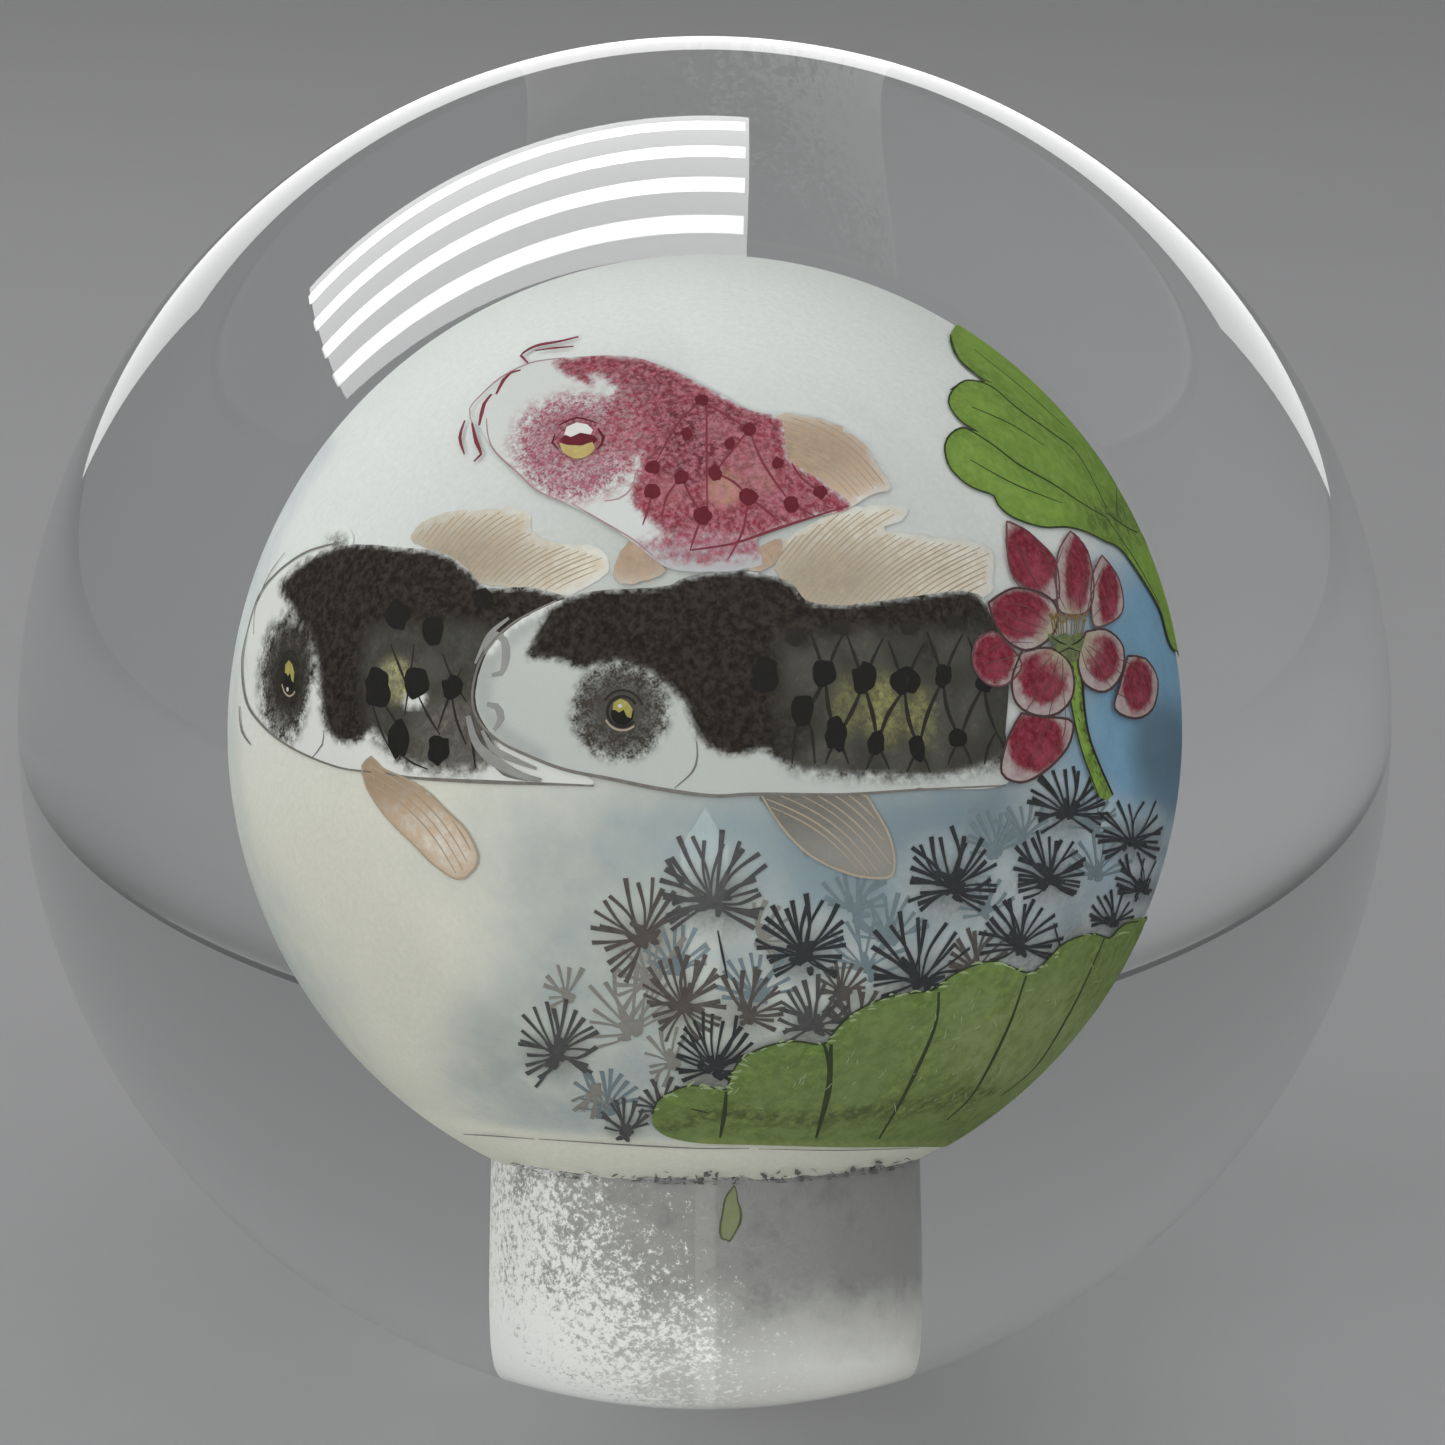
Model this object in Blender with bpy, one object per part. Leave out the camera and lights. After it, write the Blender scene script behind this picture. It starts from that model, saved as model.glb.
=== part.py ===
"""Inside-painted crystal ball.

A solid glass ball holds a smaller round cavity. A ground bore leads from the cavity to the flat foot, and a
picture of koi, lotus and water weed is painted through it on the cavity's wall. The paint lies in films: the
motifs nearest to the viewer touch the glass, the ones behind them follow, and a pale ground coat closes the
picture off. The frame's origin is the centre of the foot, with +Z up. The picture's front faces -Y.

Picture units: the glass magnifies the cavity, so outlines are laid out as the picture appears from outside.
(0, 0) is the middle of the cavity seen along the picture's axis, u runs right, v runs up, and a reach of 1 is
the cavity's apparent edge. Outlines that go on round the back have points further out than 1.
"""

from math import asin, cos, hypot, pi, radians, sin, sqrt, tau

import bmesh
import bpy
from mathutils import Matrix, Vector, geometry

# Driving dimensions, in metres.
BALL_RADIUS = 0.040
CAVITY_RADIUS = 0.0184
CAVITY_DROP = 0.0004
BORE_RADIUS = 0.0080
FOOT_RADIUS = 0.0105
FOOT_CHAMFER = 0.0003
MOUTH_CHAMFER = 0.0004

# Paint films: the gap to the glass and between layers, and the thickness of a film and of the ground coat.
FILM_GAP = 0.0003
FILM_THICKNESS = 0.00025
COAT_THICKNESS = 0.0005
COAT_EDGE_ANGLE = radians(149)

# How the glass shows the picture: refractive index, viewing distance in ball radii and tilt of the axis.
GLASS_INDEX = 1.52
VIEW_DISTANCE = 6.0
VIEW_TILT = radians(16)

# Resolution of the turned shapes and of the films.
TURN_STEPS = 48
OUTER_ARC_STEPS = 22
CAVITY_ARC_STEPS = 16
COAT_ARC_STEPS = 12
FILM_PITCH = 0.15
WELD_DISTANCE = 1e-6

# Heights that follow from them.
BALL_CENTRE_HEIGHT = sqrt(BALL_RADIUS**2 - FOOT_RADIUS**2)
CAVITY_CENTRE = Vector((0, 0, BALL_CENTRE_HEIGHT - CAVITY_DROP))
PICTURE_AXIS = Vector((0, -cos(VIEW_TILT), sin(VIEW_TILT)))
PICTURE_RIGHT = Vector((1, 0, 0))
PICTURE_UP = Vector((0, sin(VIEW_TILT), cos(VIEW_TILT)))

# Outlines of the motifs, in picture units, each with the film layer that it lies in. Layer 0 is nearest to the
# glass. The last value turns the motif about the upright axis, so that the rear picture uses the same layout.
LOTUS_FLOWER = (
    (0.64, 0.43), (0.70, 0.40), (0.73, 0.36), (0.755, 0.425), (0.80, 0.39), (0.84, 0.36), (0.87, 0.27),
    (0.87, 0.20), (0.91, 0.16), (0.94, 0.10), (0.90, 0.03), (0.84, 0.06), (0.78, 0.10), (0.77, 0.03),
    (0.73, -0.04), (0.68, -0.10), (0.63, -0.08), (0.66, 0.04), (0.65, 0.10), (0.61, 0.10), (0.57, 0.15),
    (0.60, 0.21), (0.60, 0.26), (0.65, 0.30),
)
RED_KOI = (
    (-0.45, 0.63), (-0.42, 0.71), (-0.36, 0.76), (-0.26, 0.78), (-0.14, 0.77), (-0.02, 0.73), (0.08, 0.68),
    (0.18, 0.65), (0.28, 0.62), (0.36, 0.56), (0.40, 0.50), (0.31, 0.49), (0.30, 0.46), (0.19, 0.42),
    (0.09, 0.39), (0.02, 0.35), (-0.06, 0.34), (-0.14, 0.38), (-0.24, 0.47), (-0.34, 0.50), (-0.42, 0.56),
)
FRONT_BLACK_KOI = (
    (-0.47, 0.10), (-0.44, 0.18), (-0.37, 0.24), (-0.28, 0.285), (-0.12, 0.30), (0.00, 0.33), (0.14, 0.34),
    (0.20, 0.42), (0.29, 0.46), (0.43, 0.47), (0.42, 0.42), (0.57, 0.40), (0.62, 0.36), (0.58, 0.29),
    (0.62, 0.20), (0.64, 0.04), (0.62, -0.10), (0.48, -0.12), (0.34, -0.13), (0.40, -0.22), (0.40, -0.30),
    (0.28, -0.29), (0.18, -0.21), (0.13, -0.13), (0.00, -0.13), (-0.14, -0.12), (-0.28, -0.08), (-0.40, -0.02),
)
LEFT_BLACK_KOI = (
    (-0.96, 0.14), (-0.94, 0.25), (-0.88, 0.35), (-0.77, 0.40), (-0.62, 0.40), (-0.58, 0.44), (-0.48, 0.46),
    (-0.36, 0.46), (-0.22, 0.38), (-0.22, 0.30), (-0.34, 0.20), (-0.40, 0.06), (-0.30, -0.06), (-0.24, -0.11),
    (-0.42, -0.11), (-0.60, -0.10), (-0.51, -0.18), (-0.47, -0.27), (-0.51, -0.31), (-0.61, -0.24),
    (-0.70, -0.13), (-0.71, -0.08), (-0.80, -0.06), (-0.90, 0.00), (-0.95, 0.07),
)
UPPER_LOTUS_LEAF = (
    (0.51, 0.83), (0.54, 0.77), (0.60, 0.73), (0.53, 0.72), (0.52, 0.67), (0.58, 0.63), (0.52, 0.62),
    (0.53, 0.55), (0.59, 0.50), (0.66, 0.44), (0.74, 0.44), (0.81, 0.41), (0.87, 0.38), (0.93, 0.28),
    (0.99, 0.12), (1.15, 0.30), (1.05, 0.60), (0.85, 0.85), (0.62, 0.92),
)
LOWER_LOTUS_LEAF = (
    (-0.10, -0.80), (-0.06, -0.75), (0.02, -0.74), (0.06, -0.74), (0.10, -0.68), (0.20, -0.65), (0.27, -0.65),
    (0.32, -0.59), (0.42, -0.55), (0.51, -0.53), (0.59, -0.48), (0.70, -0.50), (0.78, -0.43), (0.85, -0.43),
    (0.92, -0.39), (1.06, -0.46), (1.00, -0.72), (0.76, -0.90), (0.52, -0.87), (0.36, -0.85), (0.12, -0.86),
    (-0.06, -0.84),
)
LOTUS_STEM = (
    (0.765, 0.19), (0.795, 0.19), (0.805, 0.05), (0.845, -0.05), (0.86, -0.15), (0.825, -0.16), (0.815, -0.05),
    (0.775, 0.06),
)
WEED_BED = (
    (-0.40, -0.67), (-0.36, -0.60), (-0.27, -0.60), (-0.25, -0.40), (-0.12, -0.34), (-0.06, -0.24),
    (0.02, -0.20), (0.14, -0.26), (0.18, -0.34), (0.34, -0.34), (0.42, -0.28), (0.50, -0.20), (0.62, -0.22),
    (0.69, -0.12), (0.78, -0.04), (0.86, -0.12), (0.95, -0.08), (0.97, -0.22), (0.92, -0.42), (0.70, -0.53),
    (0.40, -0.62), (0.20, -0.70), (0.04, -0.78), (-0.16, -0.84), (-0.30, -0.80),
)
REAR_LOTUS_LEAF = (
    (-0.56, 0.10), (-0.48, 0.24), (-0.34, 0.32), (-0.18, 0.34), (-0.04, 0.28), (0.06, 0.16), (0.04, 0.04),
    (-0.08, -0.04), (-0.24, -0.06), (-0.40, -0.04), (-0.52, 0.02),
)
REAR_LOTUS_BUD = (
    (0.30, 0.20), (0.24, 0.32), (0.28, 0.44), (0.35, 0.52), (0.42, 0.44), (0.46, 0.32), (0.40, 0.20),
    (0.37, 0.17), (0.37, -0.10), (0.35, -0.26), (0.32, -0.26), (0.34, -0.10), (0.34, 0.17),
)
REAR_WEED_BED = (
    (-0.62, -0.34), (-0.44, -0.22), (-0.24, -0.30), (-0.04, -0.22), (0.16, -0.32), (0.36, -0.20), (0.58, -0.30),
    (0.66, -0.46), (0.40, -0.64), (0.00, -0.70), (-0.40, -0.62),
)
FRONT = 0.0
REAR = pi
FILMS = (
    ("lotus_flower", LOTUS_FLOWER, 0, FRONT, (0.62, 0.13, 0.22)),
    ("red_koi", RED_KOI, 0, FRONT, (0.45, 0.10, 0.16)),
    ("front_black_koi", FRONT_BLACK_KOI, 1, FRONT, (0.11, 0.10, 0.095)),
    ("upper_lotus_leaf", UPPER_LOTUS_LEAF, 1, FRONT, (0.16, 0.30, 0.07)),
    ("lower_lotus_leaf", LOWER_LOTUS_LEAF, 1, FRONT, (0.16, 0.28, 0.07)),
    ("lotus_stem", LOTUS_STEM, 1, FRONT, (0.10, 0.20, 0.05)),
    ("left_black_koi", LEFT_BLACK_KOI, 2, FRONT, (0.11, 0.10, 0.095)),
    ("water_weed_bed", WEED_BED, 2, FRONT, (0.16, 0.20, 0.24)),
    ("rear_lotus_bud", REAR_LOTUS_BUD, 0, REAR, (0.62, 0.13, 0.22)),
    ("rear_lotus_leaf", REAR_LOTUS_LEAF, 1, REAR, (0.16, 0.30, 0.07)),
    ("rear_water_weed_bed", REAR_WEED_BED, 2, REAR, (0.16, 0.20, 0.24)),
)
FILM_LAYERS = 3


def clear_scene():
    for obj in list(bpy.data.objects):
        bpy.data.objects.remove(obj, do_unlink=True)


def material(name, colour, roughness, transmission=0.0):
    made = bpy.data.materials.new(name)
    made.use_nodes = True
    shader = made.node_tree.nodes["Principled BSDF"]
    shader.inputs["Base Color"].default_value = (*colour, 1)
    shader.inputs["Roughness"].default_value = roughness
    shader.inputs["Metallic"].default_value = 0.0
    shader.inputs["Transmission Weight"].default_value = transmission
    shader.inputs["IOR"].default_value = GLASS_INDEX
    made.diffuse_color = (*colour, 1)
    return made


def add_object(name, bm, look, sharp_angle):
    """Turn a bmesh into a named, smooth-shaded object with one material."""
    bmesh.ops.recalc_face_normals(bm, faces=bm.faces)
    mesh = bpy.data.meshes.new(name)
    bm.to_mesh(mesh)
    bm.free()
    mesh.shade_smooth()
    mesh.set_sharp_from_angle(angle=sharp_angle)
    mesh.materials.append(look)
    obj = bpy.data.objects.new(name, mesh)
    bpy.context.scene.collection.objects.link(obj)
    return obj


def arc(centre_height, radius, start, end, steps):
    """Points (radius, height) on a circle about the upright axis, with angles counted from the top."""
    angles = [start + (end - start) * step / steps for step in range(steps + 1)]
    return [(radius * sin(angle), centre_height + radius * cos(angle)) for angle in angles]


def turned(name, profile, look):
    """Spin a profile of (radius, height) points, which starts and ends on the axis, into a closed solid."""
    bm = bmesh.new()
    points = [bm.verts.new((max(radius, 0), 0, height)) for radius, height in profile]
    edges = [bm.edges.new(pair) for pair in zip(points, points[1:])]
    bmesh.ops.spin(
        bm, geom=points + edges, cent=(0, 0, 0), axis=(0, 0, 1), angle=tau, steps=TURN_STEPS, use_merge=True
    )
    bmesh.ops.remove_doubles(bm, verts=bm.verts, dist=WELD_DISTANCE)
    return add_object(name, bm, look, radians(40))


def glass_ball():
    """The ball's outside, its flat foot ring, the bore and the cavity, as one turned solid."""
    foot_edge = sqrt(BALL_RADIUS**2 - (BALL_CENTRE_HEIGHT - FOOT_CHAMFER) ** 2)
    outer_end = pi - asin(foot_edge / BALL_RADIUS)
    cavity_end = pi - asin(BORE_RADIUS / CAVITY_RADIUS)
    outside = arc(BALL_CENTRE_HEIGHT, BALL_RADIUS, 0, outer_end, OUTER_ARC_STEPS)
    foot = [(FOOT_RADIUS, 0), (BORE_RADIUS + MOUTH_CHAMFER, 0), (BORE_RADIUS, MOUTH_CHAMFER)]
    cavity = arc(CAVITY_CENTRE.z, CAVITY_RADIUS, cavity_end, 0, CAVITY_ARC_STEPS)
    return turned("glass_ball", outside + foot + cavity, material("crystal_glass", (0.93, 0.94, 0.94), 0.02, 1.0))


def film_radius(layer):
    """Radius of a film's outer face, which is nearest to the glass."""
    return CAVITY_RADIUS - FILM_GAP - layer * (FILM_THICKNESS + FILM_GAP)


def ground_coat():
    """The pale coat behind the picture: a thin shell, open where the bore comes in."""
    outer = film_radius(FILM_LAYERS)
    outside = arc(CAVITY_CENTRE.z, outer, 0, COAT_EDGE_ANGLE, COAT_ARC_STEPS)
    inside = arc(CAVITY_CENTRE.z, outer - COAT_THICKNESS, COAT_EDGE_ANGLE, 0, COAT_ARC_STEPS)
    return turned("ground_coat", outside + inside, material("ground_white", (0.78, 0.80, 0.79), 0.85))


def wall_angle(reach):
    """The angle on the wall, from the picture's axis, of what the glass shows at this reach."""
    inside = min(reach, 1.0)
    offset = inside * GLASS_INDEX * CAVITY_RADIUS / BALL_RADIUS
    bend = asin(offset) - asin(offset / GLASS_INDEX)
    return bend + asin(inside) - asin(offset / VIEW_DISTANCE) + reach - inside


def to_chart(point):
    """A point in picture units, laid flat so that its distance from the middle is its angle on the wall."""
    reach = hypot(*point)
    return Vector(point) * (wall_angle(reach) / reach if reach else 0)


def to_wall(flat, radius, turn):
    """The place of a chart point on the sphere of this radius, turned about the upright axis."""
    angle = flat.length
    across, up = flat / angle if angle else (0, 0)
    direction = cos(angle) * PICTURE_AXIS + sin(angle) * (across * PICTURE_RIGHT + up * PICTURE_UP)
    return CAVITY_CENTRE + radius * (Matrix.Rotation(turn, 3, "Z") @ direction)


def split_edges(loop):
    """The outline's points with extra ones, so that no edge is longer than the film's pitch."""
    points = []
    for start, end in zip(loop, loop[1:] + loop[:1]):
        pieces = int((end - start).length / FILM_PITCH) + 1
        points += [start.lerp(end, piece / pieces) for piece in range(pieces)]
    return points


def far_from_edges(point, loop):
    """Whether a point keeps half a pitch from every edge of the outline."""
    for start, end in zip(loop, loop[1:] + loop[:1]):
        nearest, along = geometry.intersect_point_line(point, start, end)
        if 0 <= along <= 1 and (nearest.to_2d() - point).length < FILM_PITCH / 2:
            return False
        if (start - point).length < FILM_PITCH / 2:
            return False
    return True


def inner_points(loop):
    """A triangular grid of points over the outline's box, kept clear of its edges."""
    low = Vector((min(point.x for point in loop), min(point.y for point in loop)))
    high = Vector((max(point.x for point in loop), max(point.y for point in loop)))
    row_step = FILM_PITCH * sqrt(3) / 2
    points = []
    for row in range(int((high.y - low.y) / row_step) + 1):
        shift = FILM_PITCH / 2 * (row % 2)
        for column in range(int((high.x - low.x) / FILM_PITCH) + 1):
            point = low + Vector((column * FILM_PITCH + shift, row * row_step))
            if far_from_edges(point, loop):
                points.append(point)
    return points


def paint_film(name, outline, layer, turn, colour):
    """A closed film of paint: the outline's patch of the layer's sphere, thickened towards the middle."""
    loop = split_edges([to_chart(point) for point in outline])
    points, _, faces, *_ = geometry.delaunay_2d_cdt(
        loop + inner_points(loop), [], [list(range(len(loop)))], 1, WELD_DISTANCE
    )
    outer = film_radius(layer)
    bm = bmesh.new()
    used = sorted({index for face in faces for index in face})
    made = {index: bm.verts.new(to_wall(points[index], outer, turn)) for index in used}
    for face in faces:
        bm.faces.new([made[index] for index in face])
    thickened = bmesh.ops.extrude_face_region(bm, geom=bm.faces[:])
    inner_scale = (outer - FILM_THICKNESS) / outer
    for vert in thickened["geom"]:
        if isinstance(vert, bmesh.types.BMVert):
            vert.co = CAVITY_CENTRE + (vert.co - CAVITY_CENTRE) * inner_scale
    return add_object(name, bm, material(name + "_paint", colour, 0.8), radians(50))


def main():
    clear_scene()
    glass_ball()
    ground_coat()
    for name, outline, layer, turn, colour in FILMS:
        paint_film(name, outline, layer, turn, colour)


main()
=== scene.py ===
"""Looks of the inside-painted crystal ball.

The glass is one smooth turned mesh, with ground faces in the bore and on the foot. The picture is a set of
thin closed paint sheets and brush strokes, laid on the cavity's wall in the order an inside painter works:
details nearest to the glass, then the motifs, then the ground coat. Every sheet's outer face lies up to a
quarter of a millimetre inside the glass, so that the paint is in optical contact with it, as real paint is.

Picture units: (0, 0) is the middle of the cavity as the glass shows it from the picture's front, u runs
right, v runs up, and a reach of 1 is the cavity's apparent edge. The rear picture uses the same units, turned
half round.
"""

import math

import bpy
import numpy as np
from mathutils import Matrix, Vector, geometry


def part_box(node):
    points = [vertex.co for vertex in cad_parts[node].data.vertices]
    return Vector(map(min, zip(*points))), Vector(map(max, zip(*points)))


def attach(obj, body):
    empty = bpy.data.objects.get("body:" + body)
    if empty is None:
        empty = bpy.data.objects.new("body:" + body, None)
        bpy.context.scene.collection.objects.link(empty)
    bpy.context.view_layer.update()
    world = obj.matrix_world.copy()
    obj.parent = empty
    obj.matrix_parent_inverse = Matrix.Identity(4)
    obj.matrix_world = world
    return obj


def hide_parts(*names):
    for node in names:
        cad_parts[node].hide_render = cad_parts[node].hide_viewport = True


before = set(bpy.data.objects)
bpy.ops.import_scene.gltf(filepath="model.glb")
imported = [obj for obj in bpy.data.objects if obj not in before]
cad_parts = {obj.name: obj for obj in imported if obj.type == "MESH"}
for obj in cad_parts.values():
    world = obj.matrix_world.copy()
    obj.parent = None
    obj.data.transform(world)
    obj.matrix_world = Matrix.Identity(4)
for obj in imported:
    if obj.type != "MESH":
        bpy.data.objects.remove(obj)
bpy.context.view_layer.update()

# The ball, from the CAD parts in model.glb.
BALL_LOW, BALL_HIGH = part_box("glass_ball")
COAT_LOW, COAT_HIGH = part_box("ground_coat")
BALL_RADIUS = (BALL_HIGH[0] - BALL_LOW[0]) / 2
BALL_CENTRE = Vector((0, 0, BALL_HIGH[2] - BALL_RADIUS))
COAT_RADIUS = (COAT_HIGH[0] - COAT_LOW[0]) / 2
# The room that the CAD leaves between the coat and the cavity's wall for its motifs.
FILM_STACK = 0.00195
WALL_RADIUS = COAT_RADIUS + FILM_STACK
CAVITY_CENTRE = Vector((0, 0, COAT_HIGH[2] - COAT_RADIUS))
BORE_RADIUS = 0.2 * BALL_RADIUS
FOOT_CHAMFER = 0.0003
MOUTH_CHAMFER = 0.0004

# How the glass shows the picture.
GLASS_INDEX = 1.52
VIEW_DISTANCE = 6.0
VIEW_TILT = math.radians(16)
# How far each picture is turned about the upright axis.
FRONT = -0.016
REAR = math.pi
AXIS = np.array((0, -math.cos(VIEW_TILT), math.sin(VIEW_TILT)))
RIGHT = np.array((1.0, 0, 0))
UP = np.array((0, math.sin(VIEW_TILT), math.cos(VIEW_TILT)))

# Paint layers: one lift is the step from a layer to the one nearer to the viewer.
LIFT = 0.00002
SHEET_THICKNESS = 0.00001
# Spacing of a sheet's inner points, and of the points along an outline or a stroke.
FINE_PITCH = 0.018
STROKE_STEP = 0.012

# How finely the glass is turned.
TURN_STEPS = 288
OUTER_STEPS = 150
CAVITY_STEPS = 90
BORE_STEPS = 24

# The ground coat: its thickness, how finely it is turned, and where its edge starts to wobble.
COAT_THICKNESS = 0.00025
COAT_RINGS = 150
COAT_STEPS = 300
WOBBLE_START = 2.2

# The camera: how much wider than the ball the frame is, and how far its aim lies to the right.
FRAME_SHARE = 1.0517
AIM_RIGHT = 0.00103


# ---------------------------------------------------------------- the picture's geometry

def wall_angle(reach):
    """The angle on the wall, from the picture's axis, of what the glass shows at each reach."""
    inside = np.minimum(reach, 1.0)
    offset = inside * GLASS_INDEX * WALL_RADIUS / BALL_RADIUS
    bend = np.arcsin(offset) - np.arcsin(offset / GLASS_INDEX)
    return bend + np.arcsin(inside) - np.arcsin(offset / VIEW_DISTANCE) + reach - inside


REACHES = np.concatenate([np.linspace(0, 1, 400), np.linspace(1.005, 3, 100)])
ANGLES = wall_angle(REACHES)


def to_chart(uv):
    """Picture units to a flat chart, in which distance from the middle is the angle on the wall."""
    uv = np.asarray(uv, float)
    reach = np.linalg.norm(uv, axis=-1, keepdims=True)
    return uv * wall_angle(reach) / np.maximum(reach, 1e-9)


def from_chart(flat):
    """The flat chart back to picture units."""
    angle = np.linalg.norm(flat, axis=-1, keepdims=True)
    return flat * np.interp(angle, ANGLES, REACHES) / np.maximum(angle, 1e-9)


def to_wall(flat, radius, turn):
    """Chart points on the sphere of this radius about the cavity's centre, turned about the upright axis."""
    angle = np.linalg.norm(flat, axis=-1, keepdims=True)
    unit = flat / np.maximum(angle, 1e-9)
    way = np.cos(angle) * AXIS + np.sin(angle) * (unit[..., :1] * RIGHT + unit[..., 1:] * UP)
    turned = way @ np.array(Matrix.Rotation(turn, 3, "Z")).T
    return np.array(CAVITY_CENTRE) + radius * turned


def smooth_line(points, step, closed):
    """A Catmull-Rom curve through the points, sampled about every step."""
    points = np.asarray(points, float)
    count = len(points)
    spans = count if closed else count - 1
    samples = []
    for span in range(spans):
        index = [span - 1, span, span + 1, span + 2]
        if closed:
            index = [i % count for i in index]
        else:
            index = [min(max(i, 0), count - 1) for i in index]
        a, b, c, d = points[index]
        pieces = max(1, int(np.linalg.norm(c - b) / step))
        for piece in range(pieces):
            t = piece / pieces
            bend = (2 * a - 5 * b + 4 * c - d) * t**2
            twist = (3 * b - a - 3 * c + d) * t**3
            samples.append(0.5 * (2 * b + (c - a) * t + bend + twist))
    if not closed:
        samples.append(points[-1])
    return np.array(samples)


def edge_distance(points, loop):
    """Distance of each point from a closed outline, positive inside it."""
    starts, ends = loop, np.roll(loop, -1, axis=0)
    nearest = np.full(len(points), np.inf)
    inside = np.zeros(len(points), bool)
    for (ax, ay), (bx, by) in zip(starts, ends):
        ex, ey = bx - ax, by - ay
        length = ex * ex + ey * ey
        if length < 1e-14:
            continue
        px, py = points[:, 0] - ax, points[:, 1] - ay
        along = np.clip((px * ex + py * ey) / length, 0, 1)
        nearest = np.minimum(nearest, (px - along * ex) ** 2 + (py - along * ey) ** 2)
        if ay != by:
            crosses = (ay > points[:, 1]) != (by > points[:, 1])
            inside ^= crosses & (px < ex * py / ey)
    distance = np.sqrt(nearest)
    return np.where(inside, distance, -distance)


# ---------------------------------------------------------------- paint on a patch

def softened(value):
    """Smooth steps from 0 to 1."""
    value = np.clip(value, 0, 1)
    return value * value * (3 - 2 * value)


class Paint:
    """The paint on each point of a patch: its pale and dark colour, how densely the dark one covers the pale
    (ink), and how much of it is fine stipple (grit)."""

    def __init__(self, uv, pale, dark, ink=0.0):
        self.uv = uv
        self.pale = np.tile(np.array(pale, float), (len(uv), 1))
        self.dark = np.tile(np.array(dark, float), (len(uv), 1))
        self.ink = np.full(len(uv), float(ink))
        self.grit = np.full(len(uv), 0.25)

    def outline(self, points, soft, **paint):
        loop = smooth_line(points, 0.02, True)
        self.lay(softened(0.5 + edge_distance(self.uv, loop) / soft), **paint)

    def oval(self, centre, radii, soft, **paint):
        """soft is the share of the oval's radius over which it fades out."""
        reach = np.linalg.norm((self.uv - centre) / radii, axis=1)
        self.lay(softened((1 - reach) / soft + 0.5), **paint)

    def line(self, points, width, **paint):
        """A soft band along a curve."""
        curve = smooth_line(points, 0.02, False)
        distance = np.min(np.linalg.norm(self.uv[:, None] - curve[None], axis=2), axis=1)
        self.lay(softened(1.2 - distance / width), **paint)

    def lay(self, mask, ink=None, pale=None, dark=None, grit=None, strength=1.0):
        mask = mask * strength
        if grit is not None:
            self.grit += (grit - self.grit) * mask
        if ink is not None:
            self.ink += (ink - self.ink) * mask
        if pale is not None:
            self.pale += (np.array(pale) - self.pale) * mask[:, None]
        if dark is not None:
            self.dark += (np.array(dark) - self.dark) * mask[:, None]


def write_paint(mesh, paint, copies):
    """Store a patch's paint on its mesh, whose points repeat the patch's this many times."""
    for name, values in (("pale", paint.pale), ("dark", paint.dark)):
        attribute = mesh.attributes.new(name, "FLOAT_COLOR", "POINT")
        colours = np.ones((len(values) * copies, 4), np.float32)
        colours[:, :3] = np.tile(values, (copies, 1))
        attribute.data.foreach_set("color", colours.ravel())
    for name, values in (("ink", paint.ink), ("grit", paint.grit)):
        attribute = mesh.attributes.new(name, "FLOAT", "POINT")
        attribute.data.foreach_set("value", np.tile(values, copies).astype(np.float32))


# ---------------------------------------------------------------- meshes

def mesh_object(name, vertices, faces, look, smooth=True):
    """A mesh piece with one look."""
    mesh = bpy.data.meshes.new(name)
    mesh.from_pydata(np.asarray(vertices).tolist(), [], faces)
    mesh.update()
    if smooth:
        mesh.shade_smooth()
        mesh.set_sharp_from_angle(angle=math.radians(30))
    mesh.materials.append(look)
    obj = bpy.data.objects.new(name, mesh)
    bpy.context.scene.collection.objects.link(obj)
    return obj


def patch_points(loop, pitch):
    """The outline's points and a triangular grid inside it, with the triangles that join them."""
    low, high = loop.min(axis=0), loop.max(axis=0)
    row_step = pitch * math.sqrt(3) / 2
    rows = np.arange(low[1], high[1], row_step)
    columns = np.arange(low[0], high[0], pitch)
    grid = np.array([(x + pitch / 2 * (i % 2), y) for i, y in enumerate(rows) for x in columns])
    if len(grid):
        grid = grid[edge_distance(grid, loop) > pitch * 0.55]
    points = np.concatenate([loop, grid]) if len(grid) else loop
    flat, _, faces, *_ = geometry.delaunay_2d_cdt(
        [Vector(point) for point in points], [], [list(range(len(loop)))], 1, 1e-7
    )
    return np.array([tuple(point) for point in flat]), faces


def thick_sheet(flat, faces, lift, turn):
    """Points and faces of a closed sheet from a flat patch, its outer face towards the glass."""
    outer = WALL_RADIUS + lift * LIFT
    vertices = np.concatenate([to_wall(flat, outer, turn), to_wall(flat, outer - SHEET_THICKNESS, turn)])
    count = len(flat)
    closed = []
    edges = {}
    for face in faces:
        a, b, c = (flat[i] for i in face)
        if (b[0] - a[0]) * (c[1] - a[1]) - (b[1] - a[1]) * (c[0] - a[0]) < 0:
            face = face[::-1]
        closed += [list(face), [i + count for i in face[::-1]]]
        for start, end in zip(face, face[1:] + face[:1]):
            edges[start, end] = True
    for start, end in edges:
        if (end, start) not in edges:
            closed.append([end, start, start + count, end + count])
    return vertices, closed


def sheet(name, outline, lift, look, paint_maker, turn=FRONT, pitch=FINE_PITCH, ragged=0.0, seed=1):
    """One closed paint sheet with the given outline in picture units."""
    loop = to_chart(smooth_line(outline, STROKE_STEP, True))
    if ragged:
        rng = np.random.default_rng(seed)
        loop = loop + rng.normal(0, ragged, loop.shape)
    flat, faces = patch_points(loop, pitch)
    vertices, closed = thick_sheet(flat, [list(face) for face in faces], lift, turn)
    obj = mesh_object(name, vertices, closed, look)
    write_paint(obj.data, paint_maker(from_chart(flat)), 2)
    return obj


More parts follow.
